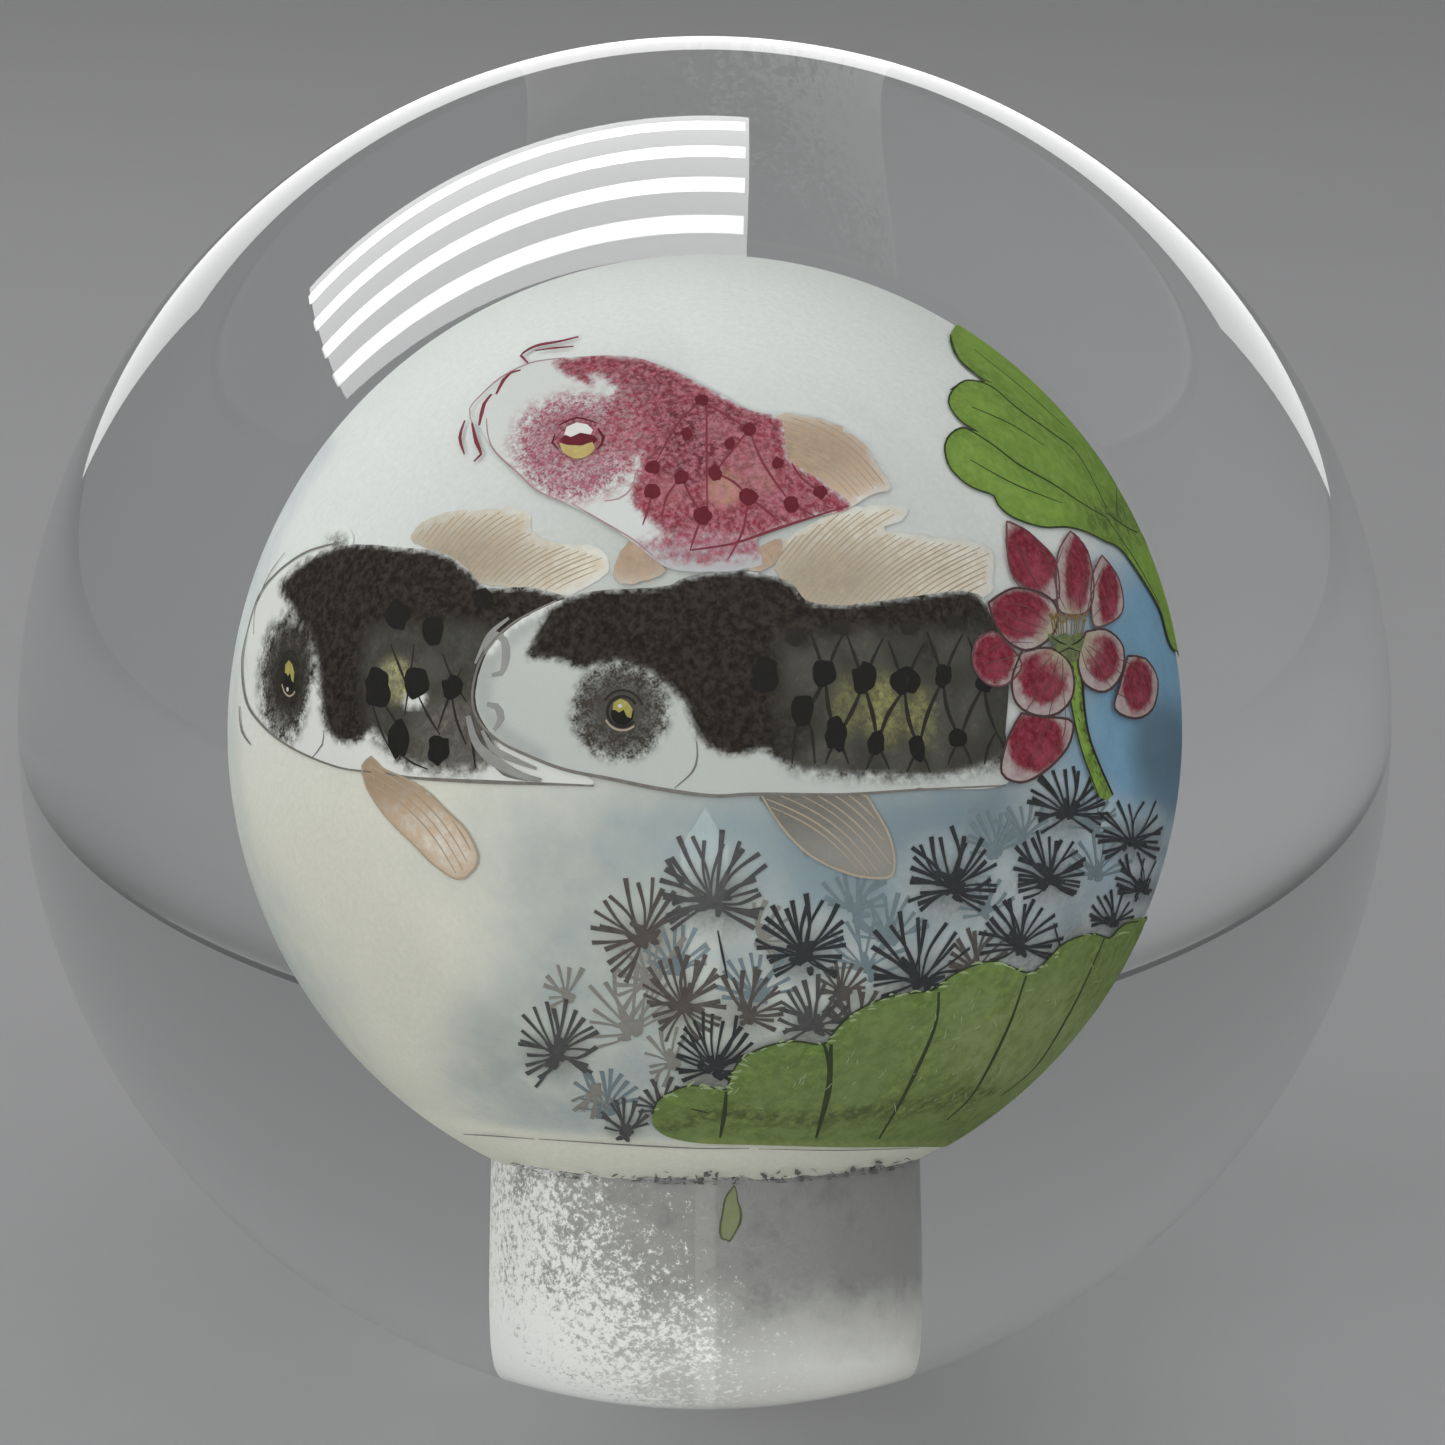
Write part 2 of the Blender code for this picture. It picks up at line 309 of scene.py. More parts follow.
def blob_outline(centre, radii, tilt, rng, rough):
    """An uneven oval: a brush dab."""
    angles = np.linspace(0, math.tau, 14, endpoint=False)
    reach = 1 + rng.normal(0, rough, len(angles))
    across, along = radii[0] * np.cos(angles) * reach, radii[1] * np.sin(angles) * reach
    c, s = math.cos(tilt), math.sin(tilt)
    return np.stack([centre[0] + c * across - s * along, centre[1] + s * across + c * along], axis=1)


def dabs(name, places, lift, look, turn=FRONT, rough=0.09, seed=3):
    """Brush dabs joined into one object, each (u, v, half width, half height) and a closed sheet."""
    rng = np.random.default_rng(seed)
    all_vertices, all_faces = [], []
    start = 0
    for number, (u, v, half_width, half_height) in enumerate(places):
        loop = to_chart(
            smooth_line(blob_outline((u, v), (half_width, half_height), rng.normal(0, 0.12), rng, rough),
                        0.006, True)
        )
        flat, faces = patch_points(loop, 0.04)
        vertices, closed = thick_sheet(flat, [list(face) for face in faces], lift + number * 0.004, turn)
        all_vertices.append(vertices)
        all_faces += [[i + start for i in face] for face in closed]
        start += len(vertices)
    return mesh_object(name, np.concatenate(all_vertices), all_faces, look)


def ribbon(points, width, taper, lift, turn):
    """Points and faces of one brush stroke. taper gives the width's share at the start, middle and end."""
    curve = to_chart(smooth_line(points, STROKE_STEP, False))
    steps = np.linalg.norm(np.diff(curve, axis=0), axis=1)
    along = np.concatenate([[0], np.cumsum(steps)])
    along /= along[-1]
    half = width / 2 * np.interp(along, [0, 0.5, 1], taper)
    way = np.gradient(curve, axis=0)
    way /= np.maximum(np.linalg.norm(way, axis=1, keepdims=True), 1e-9)
    side = np.stack([-way[:, 1], way[:, 0]], axis=1) * half[:, None]
    outer = WALL_RADIUS + lift * LIFT
    rails = [
        to_wall(curve - side, outer, turn),
        to_wall(curve + side, outer, turn),
        to_wall(curve + side, outer - SHEET_THICKNESS, turn),
        to_wall(curve - side, outer - SHEET_THICKNESS, turn),
    ]
    count = len(curve)
    faces = []
    for rail in range(4):
        other = (rail + 1) % 4
        for i in range(count - 1):
            faces.append([rail * count + i, rail * count + i + 1, other * count + i + 1, other * count + i])
    faces.append([0, count, 2 * count, 3 * count])
    faces.append([4 * count - 1, 3 * count - 1, 2 * count - 1, count - 1])
    return np.concatenate(rails), faces


def strokes(name, lines, lift, look, turn=FRONT):
    """Brush strokes joined into one object, each (points, width) or (points, width, taper)."""
    all_vertices, all_faces = [], []
    start = 0
    for number, (points, width, *rest) in enumerate(lines):
        taper = rest[0] if rest else (0.5, 1.0, 0.4)
        vertices, faces = ribbon(points, width, taper, lift + number % 50 * 0.008, turn)
        all_vertices.append(vertices)
        all_faces += [[i + start for i in face] for face in faces]
        start += len(vertices)
    return mesh_object(name, np.concatenate(all_vertices), all_faces, look, smooth=False)


# ---------------------------------------------------------------- materials

NOISE_SHIFT = (0.0137, 0.0071, 0.0053)
NOISE_TURN = (0.43, 0.71, 0.29)


def new_material(name):
    """A node material, with its tree and its surface shader."""
    look = bpy.data.materials.new(name)
    look.use_nodes = True
    return look, look.node_tree, look.node_tree.nodes["Principled BSDF"]


def add(tree, kind, **inputs):
    """A shader node with its settings and input values. Setting names begin with set_."""
    node = tree.nodes.new(kind)
    for name, value in inputs.items():
        if name.startswith("set_"):
            setattr(node, name[4:], value)
        else:
            node.inputs[name].default_value = value
    return node


def noise(tree, scale, detail=2.0, roughness=0.5):
    """Noise in the object's own space, its lattice turned away from the object's axes."""
    coordinates = add(tree, "ShaderNodeTexCoord")
    turned = add(tree, "ShaderNodeMapping", Location=NOISE_SHIFT, Rotation=NOISE_TURN)
    node = add(tree, "ShaderNodeTexNoise", Scale=scale, Detail=detail, Roughness=roughness)
    tree.links.new(coordinates.outputs["Object"], turned.inputs["Vector"])
    tree.links.new(turned.outputs["Vector"], node.inputs["Vector"])
    return node.outputs["Fac"]


def centred_noise(tree, scale, detail):
    """Noise about nought, mostly between -0.5 and 0.5."""
    return maths(tree, "MULTIPLY_ADD", noise(tree, scale, detail, 0.6), 3.0, -1.5)


def maths(tree, operation, *values):
    """A math node's output. Each value may be a number or a node's output."""
    node = add(tree, "ShaderNodeMath", set_operation=operation)
    for socket, value in zip(node.inputs, values):
        if isinstance(value, (int, float)):
            socket.default_value = value
        else:
            tree.links.new(value, socket)
    return node.outputs[0]


def mixed(tree, factor, a, b):
    """Colour a turning into colour b as the factor rises. Each may be a value or a node's output."""
    node = add(tree, "ShaderNodeMix", set_data_type="RGBA")
    factor_socket, a_socket, b_socket = node.inputs[0], node.inputs[6], node.inputs[7]
    for socket, value in ((factor_socket, factor), (a_socket, a), (b_socket, b)):
        if isinstance(value, (int, float)):
            socket.default_value = value
        elif isinstance(value, tuple):
            socket.default_value = (*value, 1)
        else:
            tree.links.new(value, socket)
    return node.outputs[2]


def patch_look(name, grain=9000, cloud=2000, ragged=0.9, stipple=0.9, mottle=0.9, grain_depth=0.03,
               fleck=None, flecks=0.7):
    """Paint from a brush. The dark colour covers the pale one as densely as the patch's ink says.

    ragged is how uneven its edge is, stipple is fine dots where there is grit, mottle is pools of thin and
    thick colour, and flecks are where the brush ran dry. grain and cloud scale the fine and the broad noise.
    """
    look, tree, shader = new_material(name)
    pale = add(tree, "ShaderNodeAttribute", set_attribute_name="pale").outputs["Color"]
    dark = add(tree, "ShaderNodeAttribute", set_attribute_name="dark").outputs["Color"]
    ink = add(tree, "ShaderNodeAttribute", set_attribute_name="ink").outputs["Fac"]
    grit = add(tree, "ShaderNodeAttribute", set_attribute_name="grit").outputs["Fac"]
    fine = centred_noise(tree, grain, 2)
    broad = centred_noise(tree, cloud, 5)
    room = maths(tree, "MULTIPLY", maths(tree, "MULTIPLY", ink, maths(tree, "SUBTRACT", 1.0, ink)), 4.0)
    dots = maths(tree, "MULTIPLY", maths(tree, "MULTIPLY", fine, grit), stipple)
    wander = maths(tree, "ADD", maths(tree, "MULTIPLY", broad, ragged), dots)
    cover = maths(tree, "ADD", ink, maths(tree, "MULTIPLY", wander, room))
    clamped = add(tree, "ShaderNodeClamp")
    tree.links.new(cover, clamped.inputs["Value"])
    depth = maths(tree, "ADD", maths(tree, "MULTIPLY", broad, mottle), 1.0)
    depth = maths(tree, "ADD", depth, maths(tree, "MULTIPLY", fine, 0.4 * mottle))
    deep = add(tree, "ShaderNodeVectorMath", set_operation="SCALE")
    tree.links.new(dark, deep.inputs[0])
    tree.links.new(maths(tree, "MAXIMUM", depth, 0.25), deep.inputs["Scale"])
    plain = add(tree, "ShaderNodeVectorMath", set_operation="SCALE")
    tree.links.new(pale, plain.inputs[0])
    tree.links.new(maths(tree, "ADD", maths(tree, "MULTIPLY", fine, grain_depth), 1.0), plain.inputs["Scale"])
    brushed = deep.outputs[0]
    if fleck:
        dry = add(tree, "ShaderNodeMapRange", **{"From Min": 0.43, "From Max": 0.62, "To Min": 0.0,
                                                 "To Max": flecks})
        tree.links.new(noise(tree, cloud * 1.5, 6, 0.72), dry.inputs["Value"])
        brushed = mixed(tree, dry.outputs[0], brushed, fleck)
    colour = mixed(tree, clamped.outputs[0], plain.outputs[0], brushed)
    tree.links.new(colour, shader.inputs["Base Color"])
    shader.inputs["Roughness"].default_value = 0.85
    shader.inputs["Specular IOR Level"].default_value = 0.0
    return look


def ink_look(name, colour, second, scale=2500, amount=0.8):
    """Brush strokes: two tones of one ink, drifting along the stroke."""
    look, tree, shader = new_material(name)
    factor = maths(tree, "MULTIPLY", noise(tree, scale, 4, 0.6), amount)
    tree.links.new(mixed(tree, factor, colour, second), shader.inputs["Base Color"])
    shader.inputs["Roughness"].default_value = 0.8
    shader.inputs["Specular IOR Level"].default_value = 0.0
    return look


def glass_look():
    """Polished glass. Lamps shine straight through it, so that they light the paint inside."""
    look, tree, shader = new_material("polished_glass")
    shader.inputs["Base Color"].default_value = (0.965, 0.975, 0.97, 1)
    shader.inputs["Transmission Weight"].default_value = 1.0
    shader.inputs["IOR"].default_value = GLASS_INDEX
    smudge = maths(tree, "MULTIPLY", noise(tree, 70, 4, 0.6), 0.03)
    tree.links.new(maths(tree, "MAXIMUM", maths(tree, "SUBTRACT", smudge, 0.014), 0.0),
                   shader.inputs["Roughness"])
    path = add(tree, "ShaderNodeLightPath")
    clear = add(tree, "ShaderNodeBsdfTransparent", Color=(0.96, 0.97, 0.965, 1))
    choice = add(tree, "ShaderNodeMixShader")
    tree.links.new(path.outputs["Is Shadow Ray"], choice.inputs[0])
    tree.links.new(shader.outputs[0], choice.inputs[1])
    tree.links.new(clear.outputs[0], choice.inputs[2])
    tree.links.new(choice.outputs[0], tree.nodes["Material Output"].inputs["Surface"])
    return look


def ground_glass_look():
    """Glass ground with grit: satin grey, painted lighter to the left, upright scuffs, and a crust of painted
    glints on the lit side.
    """
    look, tree, shader = new_material("ground_glass")
    coordinates = add(tree, "ShaderNodeTexCoord")
    place_in = add(tree, "ShaderNodeSeparateXYZ")
    tree.links.new(coordinates.outputs["Object"], place_in.inputs[0])
    scuffs = noise(tree, 420, 5, 0.65)
    # Painted light: the grey is lighter on the left, the lit side, and darker on the right.
    across = add(tree, "ShaderNodeMapRange", **{"From Min": -0.0075, "From Max": 0.0075, "To Min": 0.25,
                                                "To Max": 1.0})
    tree.links.new(place_in.outputs["X"], across.inputs["Value"])
    satin = mixed(tree, across.outputs[0], (0.50, 0.50, 0.48), (0.235, 0.235, 0.225))
    grain = noise(tree, 2600, 4, 0.7)
    satin = mixed(tree, maths(tree, "MULTIPLY", grain, 0.55), satin, (0.20, 0.20, 0.19))
    marks = add(tree, "ShaderNodeMapRange", **{"From Min": 0.52, "From Max": 0.66, "To Min": 0.0,
                                               "To Max": 0.55})
    tree.links.new(scuffs, marks.inputs["Value"])
    satin = mixed(tree, marks.outputs[0], satin, (0.15, 0.15, 0.145))
    # Painted light: the lowest part of the bore is made lighter towards the right.
    low = add(tree, "ShaderNodeMapRange", **{"From Min": 0.0188, "From Max": 0.0142})
    tree.links.new(maths(tree, "ADD", place_in.outputs["Z"], maths(tree, "MULTIPLY", scuffs, 0.003)),
                   low.inputs["Value"])
    painted_light_low_right = maths(tree, "MULTIPLY", low.outputs[0], across.outputs[0])
    satin = mixed(tree, painted_light_low_right, satin, (0.86, 0.86, 0.80))
    facets = noise(tree, 3300, 5, 0.80)
    # Painted light: the crust and its glints are placed on the left and low down, the lit side.
    side = add(tree, "ShaderNodeMapRange", **{"From Min": -0.0072, "From Max": 0.0056, "To Min": 0.0,
                                              "To Max": 1.0})
    tree.links.new(place_in.outputs["X"], side.inputs["Value"])
    height = add(tree, "ShaderNodeMapRange", **{"From Min": 0.0135, "From Max": 0.0220, "To Min": 0.0,
                                                "To Max": 0.13})
    tree.links.new(place_in.outputs["Z"], height.inputs["Value"])
    edge = maths(tree, "ADD", maths(tree, "MULTIPLY", side.outputs[0], 0.34), height.outputs[0])
    edge = maths(tree, "ADD", edge, maths(tree, "MULTIPLY", maths(tree, "SUBTRACT", scuffs, 0.5), 0.3))
    crust = maths(tree, "MULTIPLY", maths(tree, "SUBTRACT", 0.34, edge), 1.6)
    crust_and_painted_light = add(tree, "ShaderNodeClamp")
    tree.links.new(crust, crust_and_painted_light.inputs["Value"])
    satin = mixed(tree, crust_and_painted_light.outputs[0], satin, (0.52, 0.52, 0.48))
    # Painted highlights: glints where the facets catch the light.
    painted_glints = maths(tree, "MULTIPLY", maths(tree, "SUBTRACT", facets, maths(tree, "ADD", edge, 0.33)), 14.0)
    clamped = add(tree, "ShaderNodeClamp")
    tree.links.new(painted_glints, clamped.inputs["Value"])
    tree.links.new(mixed(tree, clamped.outputs[0], satin, (0.98, 0.98, 0.95)), shader.inputs["Base Color"])
    shader.inputs["Roughness"].default_value = 0.4
    bump = add(tree, "ShaderNodeBump", Strength=0.8, Distance=0.0002)
    tree.links.new(facets, bump.inputs["Height"])
    tree.links.new(bump.outputs[0], shader.inputs["Normal"])
    return look


# ---------------------------------------------------------------- the glass

def arc(centre_height, radius, start, end, steps):
    """Points (radius, height) on a circle about the upright axis, with angles counted from the top."""
    angles = np.linspace(start, end, steps + 1)
    return [(radius * math.sin(angle), centre_height + radius * math.cos(angle)) for angle in angles]


def crystal_ball():
    """The turned glass body: a profile swept round the upright axis, closed at both poles."""
    foot_radius = math.sqrt(BALL_RADIUS**2 - (BALL_CENTRE.z - FOOT_CHAMFER) ** 2)
    outside = arc(BALL_CENTRE.z, BALL_RADIUS, 0, math.pi - math.asin(foot_radius / BALL_RADIUS), OUTER_STEPS)
    flat_edge = math.sqrt(BALL_RADIUS**2 - BALL_CENTRE.z**2)
    mouth = BORE_RADIUS + MOUTH_CHAMFER
    junction = math.pi - math.asin(BORE_RADIUS / WALL_RADIUS)
    cavity = arc(CAVITY_CENTRE.z, WALL_RADIUS, junction, 0, CAVITY_STEPS)
    bore_top = cavity[0][1]
    bore = [(BORE_RADIUS, height) for height in np.linspace(MOUTH_CHAMFER, bore_top, BORE_STEPS)[:-1]]
    ground = [(flat_edge, 0), (mouth, 0)] + bore
    profile = outside + ground + cavity
    first_ground, last_ground = len(outside) - 1, len(outside) + len(ground)
    rings = profile[1:-1]
    vertices = [(0, 0, profile[0][1]), (0, 0, profile[-1][1])]
    for radius, height in rings:
        for step in range(TURN_STEPS):
            angle = math.tau * step / TURN_STEPS
            vertices.append((radius * math.cos(angle), radius * math.sin(angle), height))
    faces, slots = [], []
    for step in range(TURN_STEPS):
        after = (step + 1) % TURN_STEPS
        faces.append([0, 2 + step, 2 + after])
        slots.append(0)
        last = 2 + (len(rings) - 1) * TURN_STEPS
        faces.append([1, last + after, last + step])
        slots.append(0)
        for ring in range(len(rings) - 1):
            upper, lower = 2 + ring * TURN_STEPS, 2 + (ring + 1) * TURN_STEPS
            faces.append([upper + step, lower + step, lower + after, upper + after])
            slots.append(int(first_ground <= ring + 1 < last_ground))
    obj = mesh_object("crystal_ball", vertices, faces, glass_look())
    obj.data.materials.append(ground_glass_look())
    obj.data.polygons.foreach_set("material_index", slots)
    obj.data.set_sharp_from_angle(angle=math.radians(30))
    return obj


# ---------------------------------------------------------------- colours

WHITE = (0.82, 0.85, 0.82)
CREAM = (0.79, 0.78, 0.67)
SHADED_CREAM = (0.86, 0.85, 0.73)
PALE_BLUE = (0.23, 0.32, 0.36)
POND_BLUE = (0.19, 0.37, 0.53)
DEEP_BLUE = (0.08, 0.14, 0.19)
SOOT = (0.013, 0.0098, 0.0068)
SCALE_GREY = (0.042, 0.042, 0.032)
SMOKE = (0.105, 0.104, 0.085)
YELLOW = (0.24, 0.245, 0.09)
FIN_CREAM = (0.92, 0.89, 0.79)
FIN_TAN = (0.58, 0.49, 0.36)
FIN_BROWN = (0.55, 0.39, 0.25)
FIN_FADE = (0.72, 0.74, 0.70)
CRIMSON = (0.225, 0.027, 0.043)
PEACH = (0.60, 0.43, 0.30)
PETAL_RED = (0.19, 0.014, 0.028)
LEAF_LIGHT = (0.245, 0.40, 0.066)
LEAF_MID = (0.138, 0.245, 0.033)
LEAF_DARK = (0.035, 0.060, 0.016)


# ---------------------------------------------------------------- the ground coat

WASH = (
    (-0.34, -0.30), (-0.10, -0.24), (0.10, -0.20), (0.35, -0.16), (0.60, -0.14), (0.80, 0.0), (0.92, 0.20),
    (1.02, 0.32),
    (1.30, 0.10), (1.25, -0.50), (0.90, -0.90), (0.40, -1.00), (0.0, -0.95), (-0.25, -0.86), (-0.42, -0.70),
    (-0.40, -0.50),
)


# Each fan of weed: centre, radius, first and last needle angle in degrees, needle count, and its tone.
FANS = (
    (0.03, -0.36, 0.155, -30, 215, 30, "grey"), (-0.12, -0.44, 0.140, 30, 250, 21, "brown"),
    (0.22, -0.47, 0.130, -35, 215, 26, "dark"), (0.53, -0.33, 0.130, -35, 215, 28, "dark"),
    (0.77, -0.17, 0.110, -35, 215, 25, "dark"), (0.73, -0.31, 0.105, -35, 215, 26, "dark"),
    (0.90, -0.23, 0.100, -30, 215, 19, "dark"), (0.67, -0.45, 0.110, -25, 205, 21, "dark"),
    (0.46, -0.53, 0.150, -15, 200, 22, "dark"), (0.86, -0.40, 0.070, 20, 190, 12, "dark"),
    (-0.03, -0.58, 0.120, -60, 240, 32, "brown"), (-0.14, -0.63, 0.140, 20, 200, 14, "faint"),
    (0.24, -0.62, 0.105, -25, 210, 21, "grey"), (0.03, -0.71, 0.120, -20, 200, 24, "dark"),
    (-0.30, -0.68, 0.115, -40, 235, 25, "grey"), (0.35, -0.50, 0.120, 10, 180, 12, "blue"),
    (0.33, -0.38, 0.100, 10, 170, 12, "blue"), (0.62, -0.25, 0.090, 20, 180, 12, "blue"),
    (-0.20, -0.80, 0.100, 20, 170, 12, "blue"), (-0.05, -0.50, 0.100, 10, 180, 12, "blue"),
    (0.12, -0.56, 0.110, 10, 180, 13, "blue"), (0.83, -0.30, 0.090, 10, 180, 12, "blue"),
    (-0.28, -0.56, 0.070, 60, 200, 8, "faint"), (-0.22, -0.76, 0.090, 200, 330, 9, "faint"),
    (-0.10, -0.53, 0.120, 60, 260, 14, "faint"), (0.10, -0.60, 0.110, -20, 120, 15, "brown"),
    (0.33, -0.63, 0.100, 0, 150, 18, "brown"), (0.58, -0.50, 0.090, 10, 170, 15, "brown"),
    (0.13, -0.44, 0.090, -60, 100, 10, "faint"), (0.92, -0.33, 0.080, 30, 190, 15, "dark"),
    (0.60, -0.38, 0.080, 30, 190, 10, "blue"), (0.40, -0.44, 0.110, 20, 170, 13, "blue"),
    (-0.16, -0.84, 0.070, 20, 170, 11, "grey"), (-0.08, -0.80, 0.075, 40, 180, 10, "grey"),
    (0.68, -0.22, 0.080, 20, 170, 10, "blue"), (0.82, -0.20, 0.080, 0, 170, 10, "blue"),
    (-0.06, -0.70, 0.080, 60, 250, 10, "faint"), (0.30, -0.55, 0.070, 20, 180, 12, "brown"),
)
# No needle reaches past this distance from the picture's middle.
FAN_LIMIT = 0.985
# The smudge under a fan of each tone, and how densely it covers the ground.
FAN_SMUDGE = {
    "dark": ((0.030, 0.034, 0.036), 0.80), "brown": ((0.110, 0.100, 0.090), 0.70),
    "grey": ((0.060, 0.060, 0.058), 0.80),
}


def ground_paint(front_uv, rear_uv, height):
    """Washes on the ground coat: pale blue water to the right and below, cream at the lower left."""
    paint = Paint(front_uv, WHITE, PALE_BLUE, 0.02)
    # Painted shade: the middle of the ground is a darker grey, where less light falls.
    paint.oval((0.0, 0.20), (0.60, 0.50), 1.3, pale=(0.58, 0.60, 0.57))
    paint.oval((-0.55, -0.50), (0.85, 0.60), 1.0, pale=CREAM)
    paint.outline(WASH, 0.30, ink=0.60)
    paint.oval((0.20, -0.24), (0.60, 0.16), 1.2, ink=0.58)
    paint.oval((0.38, -0.31), (0.46, 0.17), 1.2, ink=0.92, grit=0.5)
    paint.oval((0.75, -0.28), (0.40, 0.24), 1.1, ink=0.92, dark=(0.16, 0.23, 0.27))
    paint.oval((0.98, 0.06), (0.22, 0.40), 0.9, ink=0.97, dark=POND_BLUE)
    paint.oval((0.965, -0.03), (0.06, 0.10), 1.0, dark=DEEP_BLUE, strength=0.8)
    paint.oval((0.98, -0.24), (0.09, 0.14), 1.0, dark=DEEP_BLUE, strength=0.7)
    paint.oval((-0.30, -0.70), (0.20, 0.16), 1.2, ink=0.60)
    paint.line(LOWER_LEAF[3:26], 0.034, ink=0.85, dark=(0.055, 0.060, 0.050), grit=0.8, strength=0.75)
    for u, v, reach, _, _, _, tone in FANS:
        if tone in FAN_SMUDGE:
            paint.oval((u, v + 0.1 * reach), (0.95 * reach, 0.70 * reach), 1.0, ink=0.25, strength=0.45)
    for u, v, reach, _, _, _, tone in FANS:
        if tone in FAN_SMUDGE:
            smudge, density = FAN_SMUDGE[tone]
            paint.oval((u, v), (0.55 * reach, 0.42 * reach), 1.3, ink=density, dark=smudge, grit=0.7,
                       strength=0.8)
    rim = [(0.992 * math.cos(angle), 0.992 * math.sin(angle)) for angle in np.linspace(2.5, 3.7, 16)]
    paint.line(rim, 0.030, ink=0.7, dark=(0.26, 0.40, 0.55), strength=0.32)
    rear = Paint(rear_uv, WHITE, PALE_BLUE, 0.0)
    rear.oval((0.0, -0.45), (1.0, 0.40), 1.0, ink=0.7)
    paint.ink = np.maximum(paint.ink, rear.ink)
    paint.lay(1 - softened(height), ink=0.02, pale=SHADED_CREAM)
    return paint


def picture_place(directions, turn):
    """Picture units of directions from the cavity's centre, as the picture turned this way sees them."""
    local = directions @ np.array(Matrix.Rotation(turn, 3, "Z"))
    angle = np.arccos(np.clip(local @ AXIS, -1, 1))
    flat = np.stack([local @ RIGHT, local @ UP], axis=1)
    flat *= (angle / np.maximum(np.linalg.norm(flat, axis=1), 1e-9))[:, None]
    return from_chart(flat)


def ground_coat():
    """The pale coat behind the picture, a thin shell open at the bore, with an uneven lower edge."""
    rings, steps = COAT_RINGS, COAT_STEPS
    edge_angle = math.pi - math.asin(BORE_RADIUS / WALL_RADIUS)
    angles = np.linspace(0, edge_angle, rings + 1)[1:]
    around = np.arange(steps) / steps * math.tau
    wobble = 0.010 * np.sin(7 * around) + 0.007 * np.sin(17 * around + 1) + 0.005 * np.sin(41 * around + 2)
    sheets = []
    for radius in (WALL_RADIUS + LIFT, WALL_RADIUS - COAT_THICKNESS):
        points = [(0, 0, radius)]
        for ring, angle in enumerate(angles):
            share = max(0.0, (angle - WOBBLE_START) / (edge_angle - WOBBLE_START))
            tilt = angle - (0.020 + wobble) * share
            points += list(
                zip(
                    radius * np.sin(tilt) * np.cos(around),
                    radius * np.sin(tilt) * np.sin(around),
                    radius * np.cos(tilt) * np.ones(steps),
                )
            )
        sheets.append(np.array(points))
    count = len(sheets[0])
    faces = []
    for step in range(steps):
        after = (step + 1) % steps
        faces += [[0, 1 + step, 1 + after], [count, count + 1 + after, count + 1 + step]]
        for ring in range(rings - 1):
            upper, lower = 1 + ring * steps, 1 + (ring + 1) * steps
            faces.append([upper + step, lower + step, lower + after, upper + after])
            faces.append([count + upper + after, count + lower + after, count + lower + step,
                          count + upper + step])
        rim = 1 + (rings - 1) * steps
        faces.append([rim + step, count + rim + step, count + rim + after, rim + after])
    directions = sheets[0] / np.linalg.norm(sheets[0], axis=1, keepdims=True)
    down = np.arccos(np.clip(-directions[:, 2], -1, 1))
    paint = ground_paint(
        picture_place(directions, FRONT), picture_place(directions, REAR),
        (down - math.radians(37)) / math.radians(4)
    )
    look = patch_look("ground_paint", grain=4200, cloud=560, ragged=0.22, stipple=0.25, mottle=0.16,
                      grain_depth=0.06)
    tree = look.node_tree
    tooth = add(tree, "ShaderNodeBump", Strength=0.35, Distance=0.00006)
    tree.links.new(noise(tree, 3600, 3, 0.6), tooth.inputs["Height"])
    tree.links.new(tooth.outputs[0], tree.nodes["Principled BSDF"].inputs["Normal"])
    obj = mesh_object("painted_ground", np.concatenate(sheets) + np.array(CAVITY_CENTRE), faces, look)
    write_paint(obj.data, paint, 2)
    return obj


# ---------------------------------------------------------------- drawing helpers

def hatch(outline, start, end, gap, rng, inset=0.006, bend=0.03):
    """Fine strokes across an outline, all along the way from start to end, a gap apart."""
    loop = smooth_line(outline, 0.02, True)
    start, end = np.array(start, float), np.array(end, float)
    way = (end - start) / np.linalg.norm(end - start)
    side = np.array((-way[1], way[0]))
    across = loop @ side
    lines = []
    for place in np.arange(across.min() + gap, across.max(), gap):
        place += rng.normal(0, gap * 0.10)
        along = np.arange((loop @ way).min(), (loop @ way).max(), 0.006)
        bow = bend * np.sin(np.linspace(0, math.pi, len(along)))
        points = along[:, None] * way + (place + bow)[:, None] * side
        inside = edge_distance(points, loop) > inset
        runs = np.flatnonzero(np.diff(np.concatenate([[0], inside.astype(int), [0]])))
        for first, last in zip(runs[::2], runs[1::2]):
            if last - first > 6:
                lines.append((points[first:last:4], 0.0046 * rng.uniform(0.7, 1.2), (0.5, 1.0, 0.5)))
    return lines


def loop_line(centre, radii, width, start=0.0, end=math.tau):
    """A stroke round an oval."""
    angles = np.linspace(start, end, 20)
    across, up = radii[0] * np.cos(angles), radii[1] * np.sin(angles)
    points = np.stack([centre[0] + across, centre[1] + up], axis=1)
    return points, width, (0.9, 1.0, 0.9)


def oval_outline(centre, radii):
    """Points round an oval, for a sheet."""
    points, *_ = loop_line(centre, radii, 1.0, 0, math.tau * (1 - 1 / 14))
    return points


def flat_paint(pale, dark, ink):
    """Paint that is the same all over its patch."""
    return lambda uv: Paint(uv, pale, dark, ink)


# ---------------------------------------------------------------- the fins

